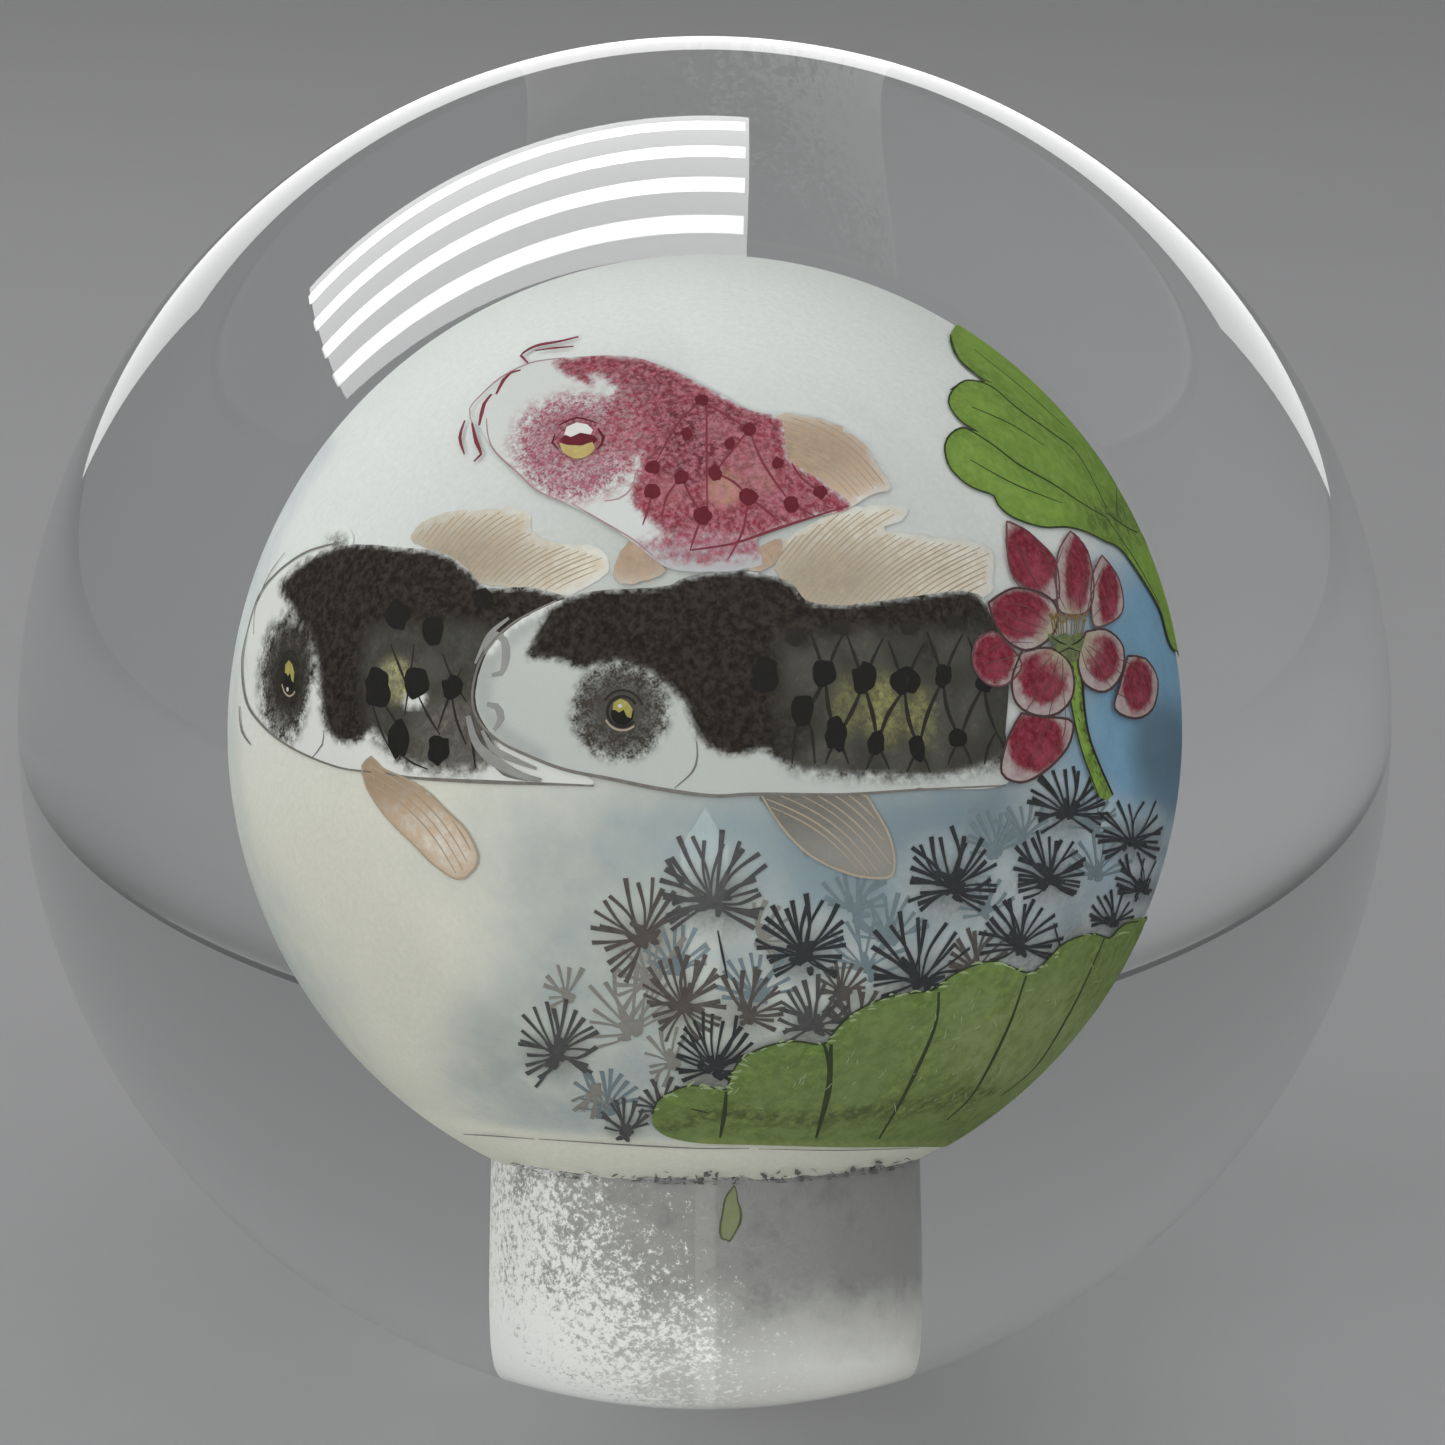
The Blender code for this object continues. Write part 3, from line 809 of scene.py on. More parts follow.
def fin(name, outline, colours, ray, gap, lift, looks, root, rng, turn=FRONT, fades=True):
    """A fin as a washed sheet, denser towards its root, with fine rays. Its edge fades out, or is drawn."""
    pale, dark = colours

    def paint(uv):
        made = Paint(uv, pale, dark, 0.55)
        loop = smooth_line(outline, 0.02, True)
        rim = 1 - softened(edge_distance(uv, loop) / 0.022)
        made.lay(rim, ink=0.15 if fades else 0.8, pale=FIN_FADE if fades else pale)
        made.oval(root, (0.17, 0.09), 1.6, ink=0.97, dark=np.array(dark) * 0.72)
        return made

    washed = sheet(name, outline, lift, looks["fin"], paint, turn, ragged=0.003)
    lines = hatch(outline, *ray, gap, rng)
    if not fades:
        lines.append((np.concatenate([outline, outline[:1]]), 0.006, (0.8, 1.0, 0.8)))
    if not lines:
        return (washed,)
    return washed, strokes(name + "_rays", lines, lift + 0.4, looks["fin_ray"], turn)


# ---------------------------------------------------------------- the fish

LEFT_SILHOUETTE = (
    (-0.945, 0.10), (-0.955, 0.18), (-0.93, 0.27), (-0.885, 0.33), (-0.83, 0.365), (-0.76, 0.385),
    (-0.70, 0.388),
    (-0.62, 0.382), (-0.54, 0.372), (-0.485, 0.335), (-0.45, 0.30), (-0.35, 0.30), (-0.27, 0.27),
    (-0.30, 0.20),
    (-0.36, 0.10), (-0.36, -0.02), (-0.22, -0.11), (-0.40, -0.108), (-0.50, -0.103), (-0.60, -0.098),
    (-0.66, -0.088), (-0.75, -0.078), (-0.81, -0.058), (-0.87, -0.028), (-0.92, 0.01),
)
LEFT_BLACK = (
    (-0.885, 0.30), (-0.83, 0.355), (-0.76, 0.385), (-0.70, 0.39), (-0.62, 0.382), (-0.54, 0.372),
    (-0.485, 0.335),
    (-0.45, 0.30), (-0.35, 0.30), (-0.27, 0.27), (-0.30, 0.20), (-0.42, 0.18), (-0.50, 0.17), (-0.60, 0.17),
    (-0.655, 0.12), (-0.665, 0.04), (-0.70, -0.01), (-0.745, -0.03), (-0.785, 0.0), (-0.80, 0.07),
    (-0.81, 0.16),
    (-0.85, 0.24),
)
LEFT_GREY = (
    (-0.70, 0.20), (-0.60, 0.22), (-0.45, 0.22), (-0.40, 0.14), (-0.42, 0.05), (-0.43, -0.04),
    (-0.47, -0.085),
    (-0.56, -0.085), (-0.62, -0.07), (-0.665, -0.03), (-0.70, 0.02),
)
FRONT_SILHOUETTE = (
    (-0.47, 0.07), (-0.455, 0.14), (-0.425, 0.19), (-0.37, 0.235), (-0.30, 0.27), (-0.22, 0.293),
    (-0.08, 0.302),
    (-0.03, 0.322), (0.04, 0.334), (0.11, 0.334), (0.19, 0.312), (0.225, 0.275), (0.30, 0.265), (0.42, 0.28),
    (0.55, 0.295), (0.60, 0.27), (0.63, 0.20), (0.645, 0.10), (0.64, 0.0), (0.64, -0.108), (0.45, -0.12),
    (0.30, -0.13), (0.12, -0.13), (0.03, -0.134), (-0.08, -0.12), (-0.18, -0.10), (-0.28, -0.08),
    (-0.36, -0.05),
    (-0.42, -0.02), (-0.455, 0.02),
)
FRONT_BLACK = (
    (-0.36, 0.15), (-0.345, 0.20), (-0.31, 0.258), (-0.22, 0.293), (-0.08, 0.302), (-0.03, 0.322),
    (0.04, 0.334),
    (0.11, 0.334), (0.19, 0.312), (0.225, 0.275), (0.30, 0.265), (0.42, 0.28), (0.55, 0.295), (0.60, 0.27),
    (0.63, 0.20), (0.645, 0.10), (0.64, 0.0), (0.62, -0.05), (0.57, -0.075), (0.48, -0.09), (0.35, -0.085),
    (0.25, -0.08), (0.18, -0.065), (0.14, -0.04), (0.08, -0.05), (0.04, -0.045), (0.0, -0.015), (-0.02, 0.03),
    (-0.04, 0.07), (-0.10, 0.12), (-0.18, 0.145), (-0.24, 0.13), (-0.29, 0.145), (-0.32, 0.15),
)
FRONT_GREY = (
    (0.17, 0.20), (0.26, 0.21), (0.40, 0.215), (0.52, 0.22), (0.62, 0.22), (0.70, 0.10), (0.66, -0.04),
    (0.56, -0.085), (0.40, -0.095), (0.27, -0.088), (0.19, -0.07), (0.165, 0.02), (0.17, 0.12),
)
RED_SILHOUETTE = (
    (-0.47, 0.66), (-0.45, 0.70), (-0.41, 0.735), (-0.36, 0.762), (-0.30, 0.775), (-0.20, 0.782),
    (-0.13, 0.776),
    (-0.06, 0.752), (0.02, 0.712), (0.10, 0.67), (0.165, 0.65), (0.185, 0.57), (0.25, 0.525), (0.315, 0.472),
    (0.25, 0.45), (0.18, 0.43), (0.12, 0.40), (0.13, 0.35), (0.06, 0.335), (-0.02, 0.333), (-0.08, 0.348),
    (-0.14, 0.395), (-0.20, 0.435), (-0.28, 0.475), (-0.34, 0.50), (-0.39, 0.54), (-0.43, 0.585),
    (-0.46, 0.625),
)
RED_BODY = (
    (-0.31, 0.765), (-0.25, 0.78), (-0.20, 0.782), (-0.13, 0.776), (-0.06, 0.752), (0.02, 0.712),
    (0.10, 0.67),
    (0.165, 0.65), (0.185, 0.57), (0.25, 0.525), (0.315, 0.472), (0.25, 0.45), (0.18, 0.43), (0.12, 0.405),
    (0.07, 0.385), (0.02, 0.35), (-0.03, 0.375), (-0.08, 0.42), (-0.145, 0.48), (-0.135, 0.53), (-0.12, 0.58),
    (-0.15, 0.56), (-0.19, 0.60), (-0.18, 0.66), (-0.21, 0.71), (-0.26, 0.73),
)


def soft_spot(uv, centre, radii):
    """A faint wet smudge on the ground's white."""
    made = Paint(uv, (0.80, 0.83, 0.79), (0.10, 0.09, 0.07), 0.0)
    made.oval(centre, radii, 1.4, ink=0.62, grit=0.5)
    return made


def left_koi(looks, rng):
    """The black fish at the left, partly behind the front one."""
    lift = 4.0

    def paint(uv):
        made = Paint(uv, (0.78, 0.79, 0.745), SOOT)
        made.outline(LEFT_BLACK, 0.022, ink=1.0)
        made.outline(LEFT_GREY, 0.05, ink=0.98, dark=SCALE_GREY)
        made.oval((-0.51, -0.02), (0.09, 0.08), 1.0, dark=(0.155, 0.145, 0.12), strength=0.85)
        made.oval((-0.57, 0.13), (0.04, 0.03), 1.0, dark=SMOKE, strength=0.5)
        made.oval((-0.64, 0.105), (0.038, 0.045), 0.7, dark=(0.36, 0.36, 0.17), strength=0.95)
        made.oval((-0.60, 0.065), (0.026, 0.020), 0.8, ink=0.15)
        made.oval((-0.875, 0.10), (0.052, 0.125), 0.6, ink=0.92, dark=(0.022, 0.019, 0.014), grit=0.8)
        made.oval((-0.855, 0.15), (0.045, 0.09), 0.8, ink=0.97)
        made.oval((-0.865, 0.10), (0.036, 0.07), 0.8, ink=1.0)
        return made

    body = sheet("left_black_koi", LEFT_SILHOUETTE, lift, looks["black"], paint, pitch=0.013, ragged=0.001)
    place(body, "koi_black_paint", "left_black_koi")
    spots = (
        (-0.675, 0.09, 0.028, 0.045), (-0.595, 0.10, 0.026, 0.032), (-0.52, 0.09, 0.023, 0.026),
        (-0.633, -0.02, 0.021, 0.042), (-0.548, -0.04, 0.024, 0.032), (-0.635, 0.24, 0.024, 0.032),
        (-0.56, 0.21, 0.022, 0.034), (-0.455, 0.275, 0.022, 0.020),
    )
    place(dabs("left_koi_scale_spots", spots, lift + 0.9, looks["spot"]), "koi_black_paint")
    outline = [
        (((-0.76, 0.392), (-0.83, 0.372), (-0.89, 0.33), (-0.93, 0.28), (-0.955, 0.20), (-0.965, 0.14),
          (-0.955, 0.06),
          (-0.92, 0.01), (-0.87, -0.03), (-0.81, -0.06), (-0.75, -0.08), (-0.69, -0.088)), 0.0105),
        (((-0.94, 0.20), (-0.935, 0.26), (-0.905, 0.33), (-0.875, 0.37)), 0.005),
        (((-0.97, 0.05), (-0.965, 0.0), (-0.945, -0.03)), 0.010),
        (((-0.79, 0.0), (-0.793, -0.03), (-0.815, -0.058)), 0.006),
        (((-0.66, -0.09), (-0.60, -0.10), (-0.50, -0.106), (-0.40, -0.11), (-0.30, -0.113), (-0.22, -0.116)),
         0.0105),
        (((-0.44, -0.06), (-0.41, -0.09), (-0.36, -0.105)), 0.012),
    ]
    place(strokes("left_koi_outline", outline, lift + 0.5, looks["line"]), "koi_black_paint")
    smudge = sheet("left_koi_smudge", oval_outline((-0.765, 0.400), (0.036, 0.030)), 3.8, looks["black"],
                   lambda uv: soft_spot(uv, (-0.765, 0.388), (0.024, 0.022)), pitch=0.010)
    place(smudge, "koi_black_paint")
    net = [
        (((-0.60, 0.18), (-0.61, 0.10), (-0.62, 0.03)), 0.0075),
        (((-0.65, 0.18), (-0.63, 0.13), (-0.61, 0.08)), 0.0075),
        (((-0.66, 0.05), (-0.64, 0.02), (-0.63, 0.0)), 0.0075),
        (((-0.50, 0.13), (-0.53, 0.06), (-0.55, 0.0)), 0.0075),
        (((-0.48, 0.0), (-0.475, -0.04), (-0.47, -0.08)), 0.0075),
        (((-0.54, 0.16), (-0.52, 0.11), (-0.49, 0.06)), 0.0075),
        (((-0.59, 0.07), (-0.57, 0.03), (-0.545, -0.01)), 0.0075),
        (((-0.52, 0.07), (-0.51, 0.02), (-0.49, -0.03)), 0.0075),
        (((-0.63, -0.05), (-0.60, -0.07), (-0.57, -0.082)), 0.006),
        (((-0.69, 0.06), (-0.67, 0.0), (-0.65, -0.04)), 0.0075),
    ]
    place(strokes("left_koi_scale_net", net, lift + 0.5, looks["dark_line"]), "koi_black_paint")
    eye((-0.862, 0.115), (0.014, 0.036), "left_koi_eye", lift + 1.0, looks, glint=(-0.866, 0.085))
    dorsal = np.array(
        ((-0.61, 0.40), (-0.585, 0.435), (-0.52, 0.46), (-0.45, 0.466), (-0.36, 0.46), (-0.355, 0.42),
         (-0.30, 0.395),
         (-0.215, 0.385), (-0.19, 0.34), (-0.24, 0.30), (-0.30, 0.285), (-0.40, 0.30), (-0.50, 0.32),
         (-0.55, 0.37))
    )
    place_all(
        fin("left_koi_dorsal_fin", dorsal, (FIN_CREAM, FIN_TAN), ((-0.52, 0.34), (-0.36, 0.46)), 0.0105, 3.0,
            looks,
            (-0.50, 0.36), rng), "koi_black_paint",
    )
    pectoral = np.array(
        ((-0.71, -0.075), (-0.69, -0.055), (-0.665, -0.08), (-0.62, -0.10), (-0.57, -0.13), (-0.53, -0.17),
         (-0.49, -0.21), (-0.465, -0.265), (-0.48, -0.298), (-0.51, -0.312), (-0.56, -0.28), (-0.60, -0.24),
         (-0.66, -0.18), (-0.70, -0.12))
    )
    place_all(
        fin("left_koi_pectoral_fin", pectoral, (FIN_CREAM, FIN_BROWN), ((-0.70, -0.08), (-0.49, -0.29)),
            0.017, 4.2,
            looks, (-0.68, -0.09), rng, fades=False), "koi_black_paint",
    )


def front_koi(looks, rng):
    """The large black fish across the middle, with its fins."""
    lift = 7.0

    def paint(uv):
        # Its pale is greyer than the ground's white: partly the fish's own grey, partly painted shade of the
        # middle.
        made = Paint(uv, (0.58, 0.60, 0.57), SOOT)
        made.line(((-0.36, 0.225), (-0.43, 0.16), (-0.455, 0.07), (-0.42, 0.0), (-0.34, -0.055)), 0.030,
                  pale=(0.40, 0.415, 0.40), strength=0.7)
        made.line(((-0.30, 0.27), (-0.39, 0.225), (-0.44, 0.17)), 0.016, pale=(0.80, 0.81, 0.78))
        made.outline(FRONT_BLACK, 0.020, ink=1.0)
        made.outline(FRONT_GREY, 0.06, ink=0.98, dark=SCALE_GREY)
        for u, v, wide, high, dark, strength in (
            (0.24, 0.13, 0.05, 0.05, SMOKE, 0.6), (0.33, 0.19, 0.035, 0.03, SMOKE, 0.5),
            (0.27, -0.05, 0.05, 0.035, SMOKE, 0.7),
            (0.36, 0.15, 0.03, 0.04, SMOKE, 0.5), (0.50, 0.03, 0.03, 0.07, SMOKE, 0.6),
            (0.57, 0.04, 0.03, 0.05, SMOKE, 0.6),
            (0.42, -0.06, 0.03, 0.03, SMOKE, 0.6), (0.50, -0.05, 0.02, 0.04, SMOKE, 0.5),
            (0.53, 0.17, 0.05, 0.03, SMOKE, 0.4),
            (0.31, 0.05, 0.035, 0.06, YELLOW, 0.6), (0.385, 0.045, 0.04, 0.07, YELLOW, 0.95),
            (0.46, 0.03, 0.03, 0.06, YELLOW, 0.8),
        ):
            made.oval((u, v), (wide, high), 1.0, dark=dark, strength=strength)
        for u, v, wide, high in (
            (0.30, 0.22, 0.04, 0.025), (0.43, 0.225, 0.035, 0.028), (0.53, 0.235, 0.04, 0.025),
            (0.22, 0.20, 0.035, 0.03),
            (0.48, 0.17, 0.018, 0.030), (0.60, 0.18, 0.03, 0.05), (0.20, 0.00, 0.04, 0.05),
            (0.38, 0.27, 0.10, 0.020),
        ):
            made.oval((u, v), (wide, high), 0.9, dark=SOOT, strength=0.75)
        made.oval((-0.165, 0.04), (0.100, 0.100), 0.42, ink=0.92, dark=(0.040, 0.034, 0.026), grit=0.9)
        made.oval((-0.165, 0.045), (0.05, 0.045), 0.9, ink=0.98, dark=(0.075, 0.068, 0.055), grit=0.6)
        return made

    body = sheet("front_black_koi", FRONT_SILHOUETTE, lift, looks["black"], paint, pitch=0.012, ragged=0.001)
    place(body, "koi_black_paint", "front_black_koi")
    spots = (
        (0.14, 0.12, 0.030, 0.040), (0.262, 0.122, 0.025, 0.028), (0.345, 0.112, 0.026, 0.034),
        (0.43, 0.105, 0.030, 0.030), (0.51, 0.118, 0.018, 0.026), (0.595, 0.10, 0.018, 0.018),
        (0.218, 0.045, 0.023, 0.036), (0.287, -0.008, 0.024, 0.034), (0.372, -0.025, 0.017, 0.026),
        (0.457, -0.035, 0.016, 0.030), (0.540, -0.012, 0.020, 0.020),
    )
    place(dabs("front_koi_scale_spots", spots, lift + 0.9, looks["spot"]), "koi_black_paint")
    faint = ((0.30, 0.22, 0.020, 0.018), (0.44, 0.22, 0.020, 0.018), (0.53, 0.23, 0.018, 0.016),
             (0.20, 0.20, 0.02, 0.02))
    place(dabs("front_koi_back_spots", faint, lift + 0.8, looks["soft_spot"], seed=8), "koi_black_paint")
    net = []
    upper = ((0.265, 0.115), (0.345, 0.10), (0.43, 0.09), (0.51, 0.11), (0.595, 0.10))
    lower = ((0.22, 0.035), (0.29, -0.015), (0.375, -0.03), (0.46, -0.035), (0.545, -0.015), (0.62, 0.0))
    for index, (u, v) in enumerate(upper):
        for target in (lower[index], lower[index + 1]):
            middle = ((u + target[0]) / 2 + rng.normal(0, 0.006), (v + target[1]) / 2)
            net.append((((u, v), middle, target), 0.0115))
        net.append((((u - 0.035, v + 0.10), (u - 0.018, v + 0.055), (u, v)), 0.0090))
        net.append((((u + 0.040, v + 0.095), (u + 0.02, v + 0.055), (u, v)), 0.0090))
    for u, v in lower:
        for side in (-0.04, 0.04):
            net.append((((u, v), (u + side * 0.4, v - 0.03), (u + side * 0.6, min(v - 0.05, -0.068))),
                        0.0085))
    place(strokes("front_koi_scale_net", net, lift + 0.45, looks["dark_line"]), "koi_black_paint")
    outline = [
        (((-0.30, 0.272), (-0.38, 0.232), (-0.43, 0.19), (-0.462, 0.14), (-0.476, 0.07), (-0.462, 0.02),
          (-0.42, -0.022), (-0.36, -0.052), (-0.28, -0.082), (-0.18, -0.102), (-0.08, -0.122), (0.03, -0.136),
          (0.12, -0.132), (0.30, -0.132), (0.45, -0.122), (0.64, -0.112)), 0.0095),
        (((-0.005, -0.02), (-0.002, -0.05), (-0.012, -0.085), (-0.05, -0.12)), 0.0055),
    ]
    barbels = [
        (((-0.435, 0.205), (-0.41, 0.19), (-0.405, 0.155), (-0.415, 0.12), (-0.435, 0.115)), 0.024),
        (((-0.45, 0.16), (-0.435, 0.19), (-0.41, 0.20)), 0.018),
        (((-0.445, 0.055), (-0.425, 0.05), (-0.415, 0.025), (-0.43, 0.0)), 0.022),
        (((-0.485, 0.03), (-0.465, -0.03), (-0.42, -0.07), (-0.37, -0.095), (-0.33, -0.105)), 0.028),
        (((-0.455, 0.0), (-0.43, -0.04), (-0.38, -0.065), (-0.34, -0.08)), 0.018),
        (((-0.40, 0.235), (-0.44, 0.20), (-0.47, 0.14)), 0.014),
    ]
    place(strokes("front_koi_barbels", barbels, lift + 0.55, looks["grey_line"]), "koi_black_paint")
    place(strokes("front_koi_outline", outline, lift + 0.6, looks["line"]), "koi_black_paint")
    eye((-0.160, 0.040), (0.030, 0.032), "front_koi_eye", lift + 1.0, looks, glint=(-0.165, 0.052))
    dorsal = np.array(
        ((0.16, 0.355), (0.18, 0.40), (0.24, 0.44), (0.30, 0.465), (0.37, 0.475), (0.43, 0.47), (0.42, 0.445),
         (0.385, 0.425), (0.47, 0.41), (0.56, 0.40), (0.61, 0.38), (0.61, 0.33), (0.59, 0.28), (0.42, 0.265),
         (0.27, 0.25), (0.20, 0.27), (0.17, 0.32))
    )
    place_all(
        fin("front_koi_dorsal_fin", dorsal, (FIN_CREAM, FIN_TAN), ((0.26, 0.30), (0.42, 0.43)), 0.0105, 6.0,
            looks,
            (0.26, 0.32), rng), "koi_black_paint",
    )
    pectoral = np.array(
        ((0.13, -0.13), (0.16, -0.18), (0.20, -0.23), (0.25, -0.27), (0.32, -0.30), (0.38, -0.308),
         (0.405, -0.30),
         (0.41, -0.27), (0.40, -0.22), (0.37, -0.165), (0.34, -0.13), (0.25, -0.125))
    )
    place_all(
        fin("front_koi_pectoral_fin", pectoral, ((0.34, 0.35, 0.32), (0.27, 0.255, 0.22)),
            ((0.18, -0.13), (0.39, -0.29)),
            0.017, 6.0, looks, (0.20, -0.14), rng, fades=False), "koi_black_paint",
    )


def eye(centre, radii, name, lift, looks, glint):
    """A smear of gold over a dark pupil, loosely ringed, with a small light."""
    u, v = centre
    wide, high = radii
    pupil = sheet(name + "_pupil", oval_outline((u, v - high * 0.15), (wide * 0.80, high * 0.75)), lift,
                  looks["spot"],
                  flat_paint(SOOT, SOOT, 1.0))
    shape = ((-0.70, 0.10), (-0.62, 0.62), (-0.15, 0.85), (0.38, 0.62), (0.72, 0.15), (0.60, -0.45),
             (0.32, -0.30),
             (0.10, 0.12), (-0.25, -0.06), (-0.42, 0.10))
    smear = sheet(name + "_iris", np.array([(u + wide * x, v + high * y) for x, y in shape]), lift + 0.3,
                  looks["tint"],
                  flat_paint((0.46, 0.42, 0.11), (0.24, 0.21, 0.06), 0.3), ragged=0.0008)
    ring = strokes(name + "_ring", [loop_line((u, v), (wide * 1.05, high), 0.007, 0.5, 5.6), loop_line((u, v),
                   (wide * 1.45, high * 1.4), 0.005, 0.3, 2.6)], lift + 0.2, looks["dark_line"])
    light = strokes(name + "_rim_light", [loop_line((u, v), (wide * 1.28, high * 1.22), 0.005, 3.6, 5.4)],
                    lift + 0.2,
                    looks["fin_ray"])
    spark = sheet(name + "_glint", oval_outline(glint, (wide * 0.16, high * 0.13)), lift + 0.5, looks["tint"],
                  flat_paint((0.60, 0.60, 0.56), (0.60, 0.60, 0.56), 0.0))
    place_all((smear, pupil, ring, light, spark), "koi_black_paint")


def red_koi(looks, rng):
    """The red fish above, with its fins."""
    lift = 9.0

    def paint(uv):
        made = Paint(uv, (0.68, 0.695, 0.675), CRIMSON)
        made.oval((0.03, 0.36), (0.17, 0.04), 0.8, pale=(0.50, 0.50, 0.51))
        made.outline(RED_BODY, 0.018, ink=0.985, grit=0.35)
        for u, v, wide, high, dark, strength in (
            (-0.02, 0.60, 0.07, 0.07, (0.11, 0.010, 0.018), 0.8),
            (0.05, 0.65, 0.07, 0.04, (0.13, 0.012, 0.020), 0.7),
            (-0.13, 0.72, 0.08, 0.04, (0.15, 0.016, 0.026), 0.7),
            (0.10, 0.56, 0.05, 0.04, (0.30, 0.11, 0.12), 0.7),
            (-0.07, 0.50, 0.04, 0.03, (0.32, 0.12, 0.13), 0.6),
            (0.16, 0.48, 0.05, 0.03, (0.28, 0.075, 0.10), 0.6),
            (0.05, 0.505, 0.035, 0.035, (0.44, 0.25, 0.16), 0.9),
            (0.13, 0.525, 0.03, 0.03, (0.36, 0.17, 0.14), 0.6),
            (0.03, 0.63, 0.03, 0.025, (0.34, 0.12, 0.14), 0.6),
            (-0.07, 0.66, 0.04, 0.02, (0.11, 0.010, 0.018), 0.6),
        ):
            made.oval((u, v), (wide, high), 1.0, dark=dark, strength=strength)
        made.oval((0.02, 0.385), (0.13, 0.030), 1.2, ink=0.80, dark=(0.28, 0.07, 0.10))
        made.oval((-0.265, 0.59), (0.125, 0.105), 0.62, ink=0.84, dark=(0.25, 0.06, 0.085), grit=1.0)
        made.oval((-0.255, 0.61), (0.055, 0.045), 1.0, ink=0.97, dark=(0.16, 0.016, 0.028), grit=0.6)
        made.oval((-0.16, 0.66), (0.05, 0.07), 1.2, ink=0.90, dark=CRIMSON, grit=0.8, strength=0.9)
        made.outline(((-0.235, 0.745), (-0.20, 0.735), (-0.175, 0.71), (-0.19, 0.69), (-0.215, 0.70)), 0.02,
                     ink=0.05)
        return made

    body = sheet("red_koi", RED_SILHOUETTE, lift, looks["red"], paint, pitch=0.012, ragged=0.001)
    place(body, "koi_red_paint", "red_koi")
    spots = (
        (-0.10, 0.55, 0.016, 0.014), (-0.10, 0.50, 0.018, 0.017), (-0.04, 0.53, 0.016, 0.016),
        (0.03, 0.54, 0.015, 0.016), (0.10, 0.63, 0.014, 0.014), (0.0, 0.69, 0.016, 0.012),
        (0.10, 0.49, 0.020, 0.019), (0.005, 0.45, 0.020, 0.019), (0.19, 0.475, 0.016, 0.018),
        (0.25, 0.50, 0.014, 0.014), (0.06, 0.60, 0.012, 0.012), (-0.03, 0.62, 0.013, 0.013),
        (0.16, 0.56, 0.012, 0.012),
    )
    place(dabs("red_koi_scale_spots", spots, lift + 0.9, looks["red_spot"], seed=5), "koi_red_paint")
    net = [
        (((0.01, 0.70), (0.012, 0.58), (0.015, 0.46)), 0.007),
        (((0.005, 0.45), (-0.01, 0.41), (-0.02, 0.378)), 0.007),
        (((0.10, 0.49), (0.09, 0.42), (0.06, 0.36)), 0.007), (((-0.10, 0.50), (-0.11, 0.46), (-0.12, 0.43)),
                                                              0.007),
        (((-0.04, 0.53), (-0.02, 0.49), (0.005, 0.45)), 0.007),
        (((-0.04, 0.53), (-0.07, 0.49), (-0.08, 0.44)), 0.007),
        (((0.03, 0.54), (0.07, 0.52), (0.10, 0.49)), 0.007), (((0.10, 0.63), (0.06, 0.58), (0.03, 0.54)),
                                                              0.007),
        (((0.10, 0.63), (0.13, 0.56), (0.19, 0.475)), 0.007), (((0.0, 0.69), (-0.05, 0.64), (-0.10, 0.55)),
                                                               0.007),
        (((0.10, 0.49), (0.14, 0.46), (0.17, 0.435)), 0.007), (((0.0, 0.69), (0.05, 0.66), (0.10, 0.63)),
                                                               0.007),
        (((0.19, 0.475), (0.22, 0.46), (0.24, 0.45)), 0.007), (((0.19, 0.56), (0.21, 0.53), (0.25, 0.50)),
                                                               0.007),
        (((-0.02, 0.378), (0.03, 0.385), (0.08, 0.395), (0.18, 0.43), (0.31, 0.472)), 0.008),
    ]
    place(strokes("red_koi_scale_net", net, lift + 0.45, looks["red_line"]), "koi_red_paint")
    outline = [
        (((-0.29, 0.776), (-0.36, 0.765), (-0.42, 0.735), (-0.46, 0.70), (-0.485, 0.67), (-0.48, 0.64)),
         0.006),
        (((-0.26, 0.82), (-0.30, 0.81), (-0.35, 0.80), (-0.38, 0.78), (-0.365, 0.765)), 0.012),
        (((-0.27, 0.80), (-0.32, 0.795), (-0.35, 0.79)), 0.008),
        (((-0.43, 0.70), (-0.415, 0.73), (-0.40, 0.745), (-0.38, 0.75)), 0.013),
        (((-0.44, 0.70), (-0.455, 0.68), (-0.46, 0.66), (-0.465, 0.635)), 0.014),
        (((-0.495, 0.645), (-0.505, 0.61), (-0.495, 0.575)), 0.010),
        (((-0.48, 0.64), (-0.47, 0.60), (-0.46, 0.575), (-0.475, 0.56)), 0.012),
        (((-0.45, 0.65), (-0.445, 0.61), (-0.43, 0.58), (-0.38, 0.535), (-0.34, 0.50), (-0.28, 0.475)),
         0.005),
        (((-0.27, 0.475), (-0.20, 0.435), (-0.14, 0.40), (-0.09, 0.36)), 0.0045),
        (((-0.20, 0.48), (-0.17, 0.485), (-0.145, 0.505), (-0.135, 0.54)), 0.005),
    ]
    place(strokes("red_koi_outline", outline[1:7], lift + 0.6, looks["red_line"]), "koi_red_paint")
    place(strokes("red_koi_face_line", outline[:1] + outline[7:], lift + 0.6, looks["rose_line"]),
          "koi_red_paint")
    iris = sheet("red_koi_eye_iris", np.array(((-0.297, 0.600), (-0.289, 0.581), (-0.264, 0.567),
                                               (-0.238, 0.572),
                 (-0.221, 0.589), (-0.227, 0.602), (-0.250, 0.594), (-0.276, 0.596))), lift + 1.0,
                 looks["tint"],
                 flat_paint((0.56, 0.47, 0.18), (0.40, 0.27, 0.10), 0.35), ragged=0.0008)
    pupil = sheet("red_koi_eye_pupil", oval_outline((-0.255, 0.607), (0.038, 0.013)), lift + 0.95,
                  looks["red_spot"],
                  flat_paint(CRIMSON, CRIMSON, 1.0), ragged=0.001)
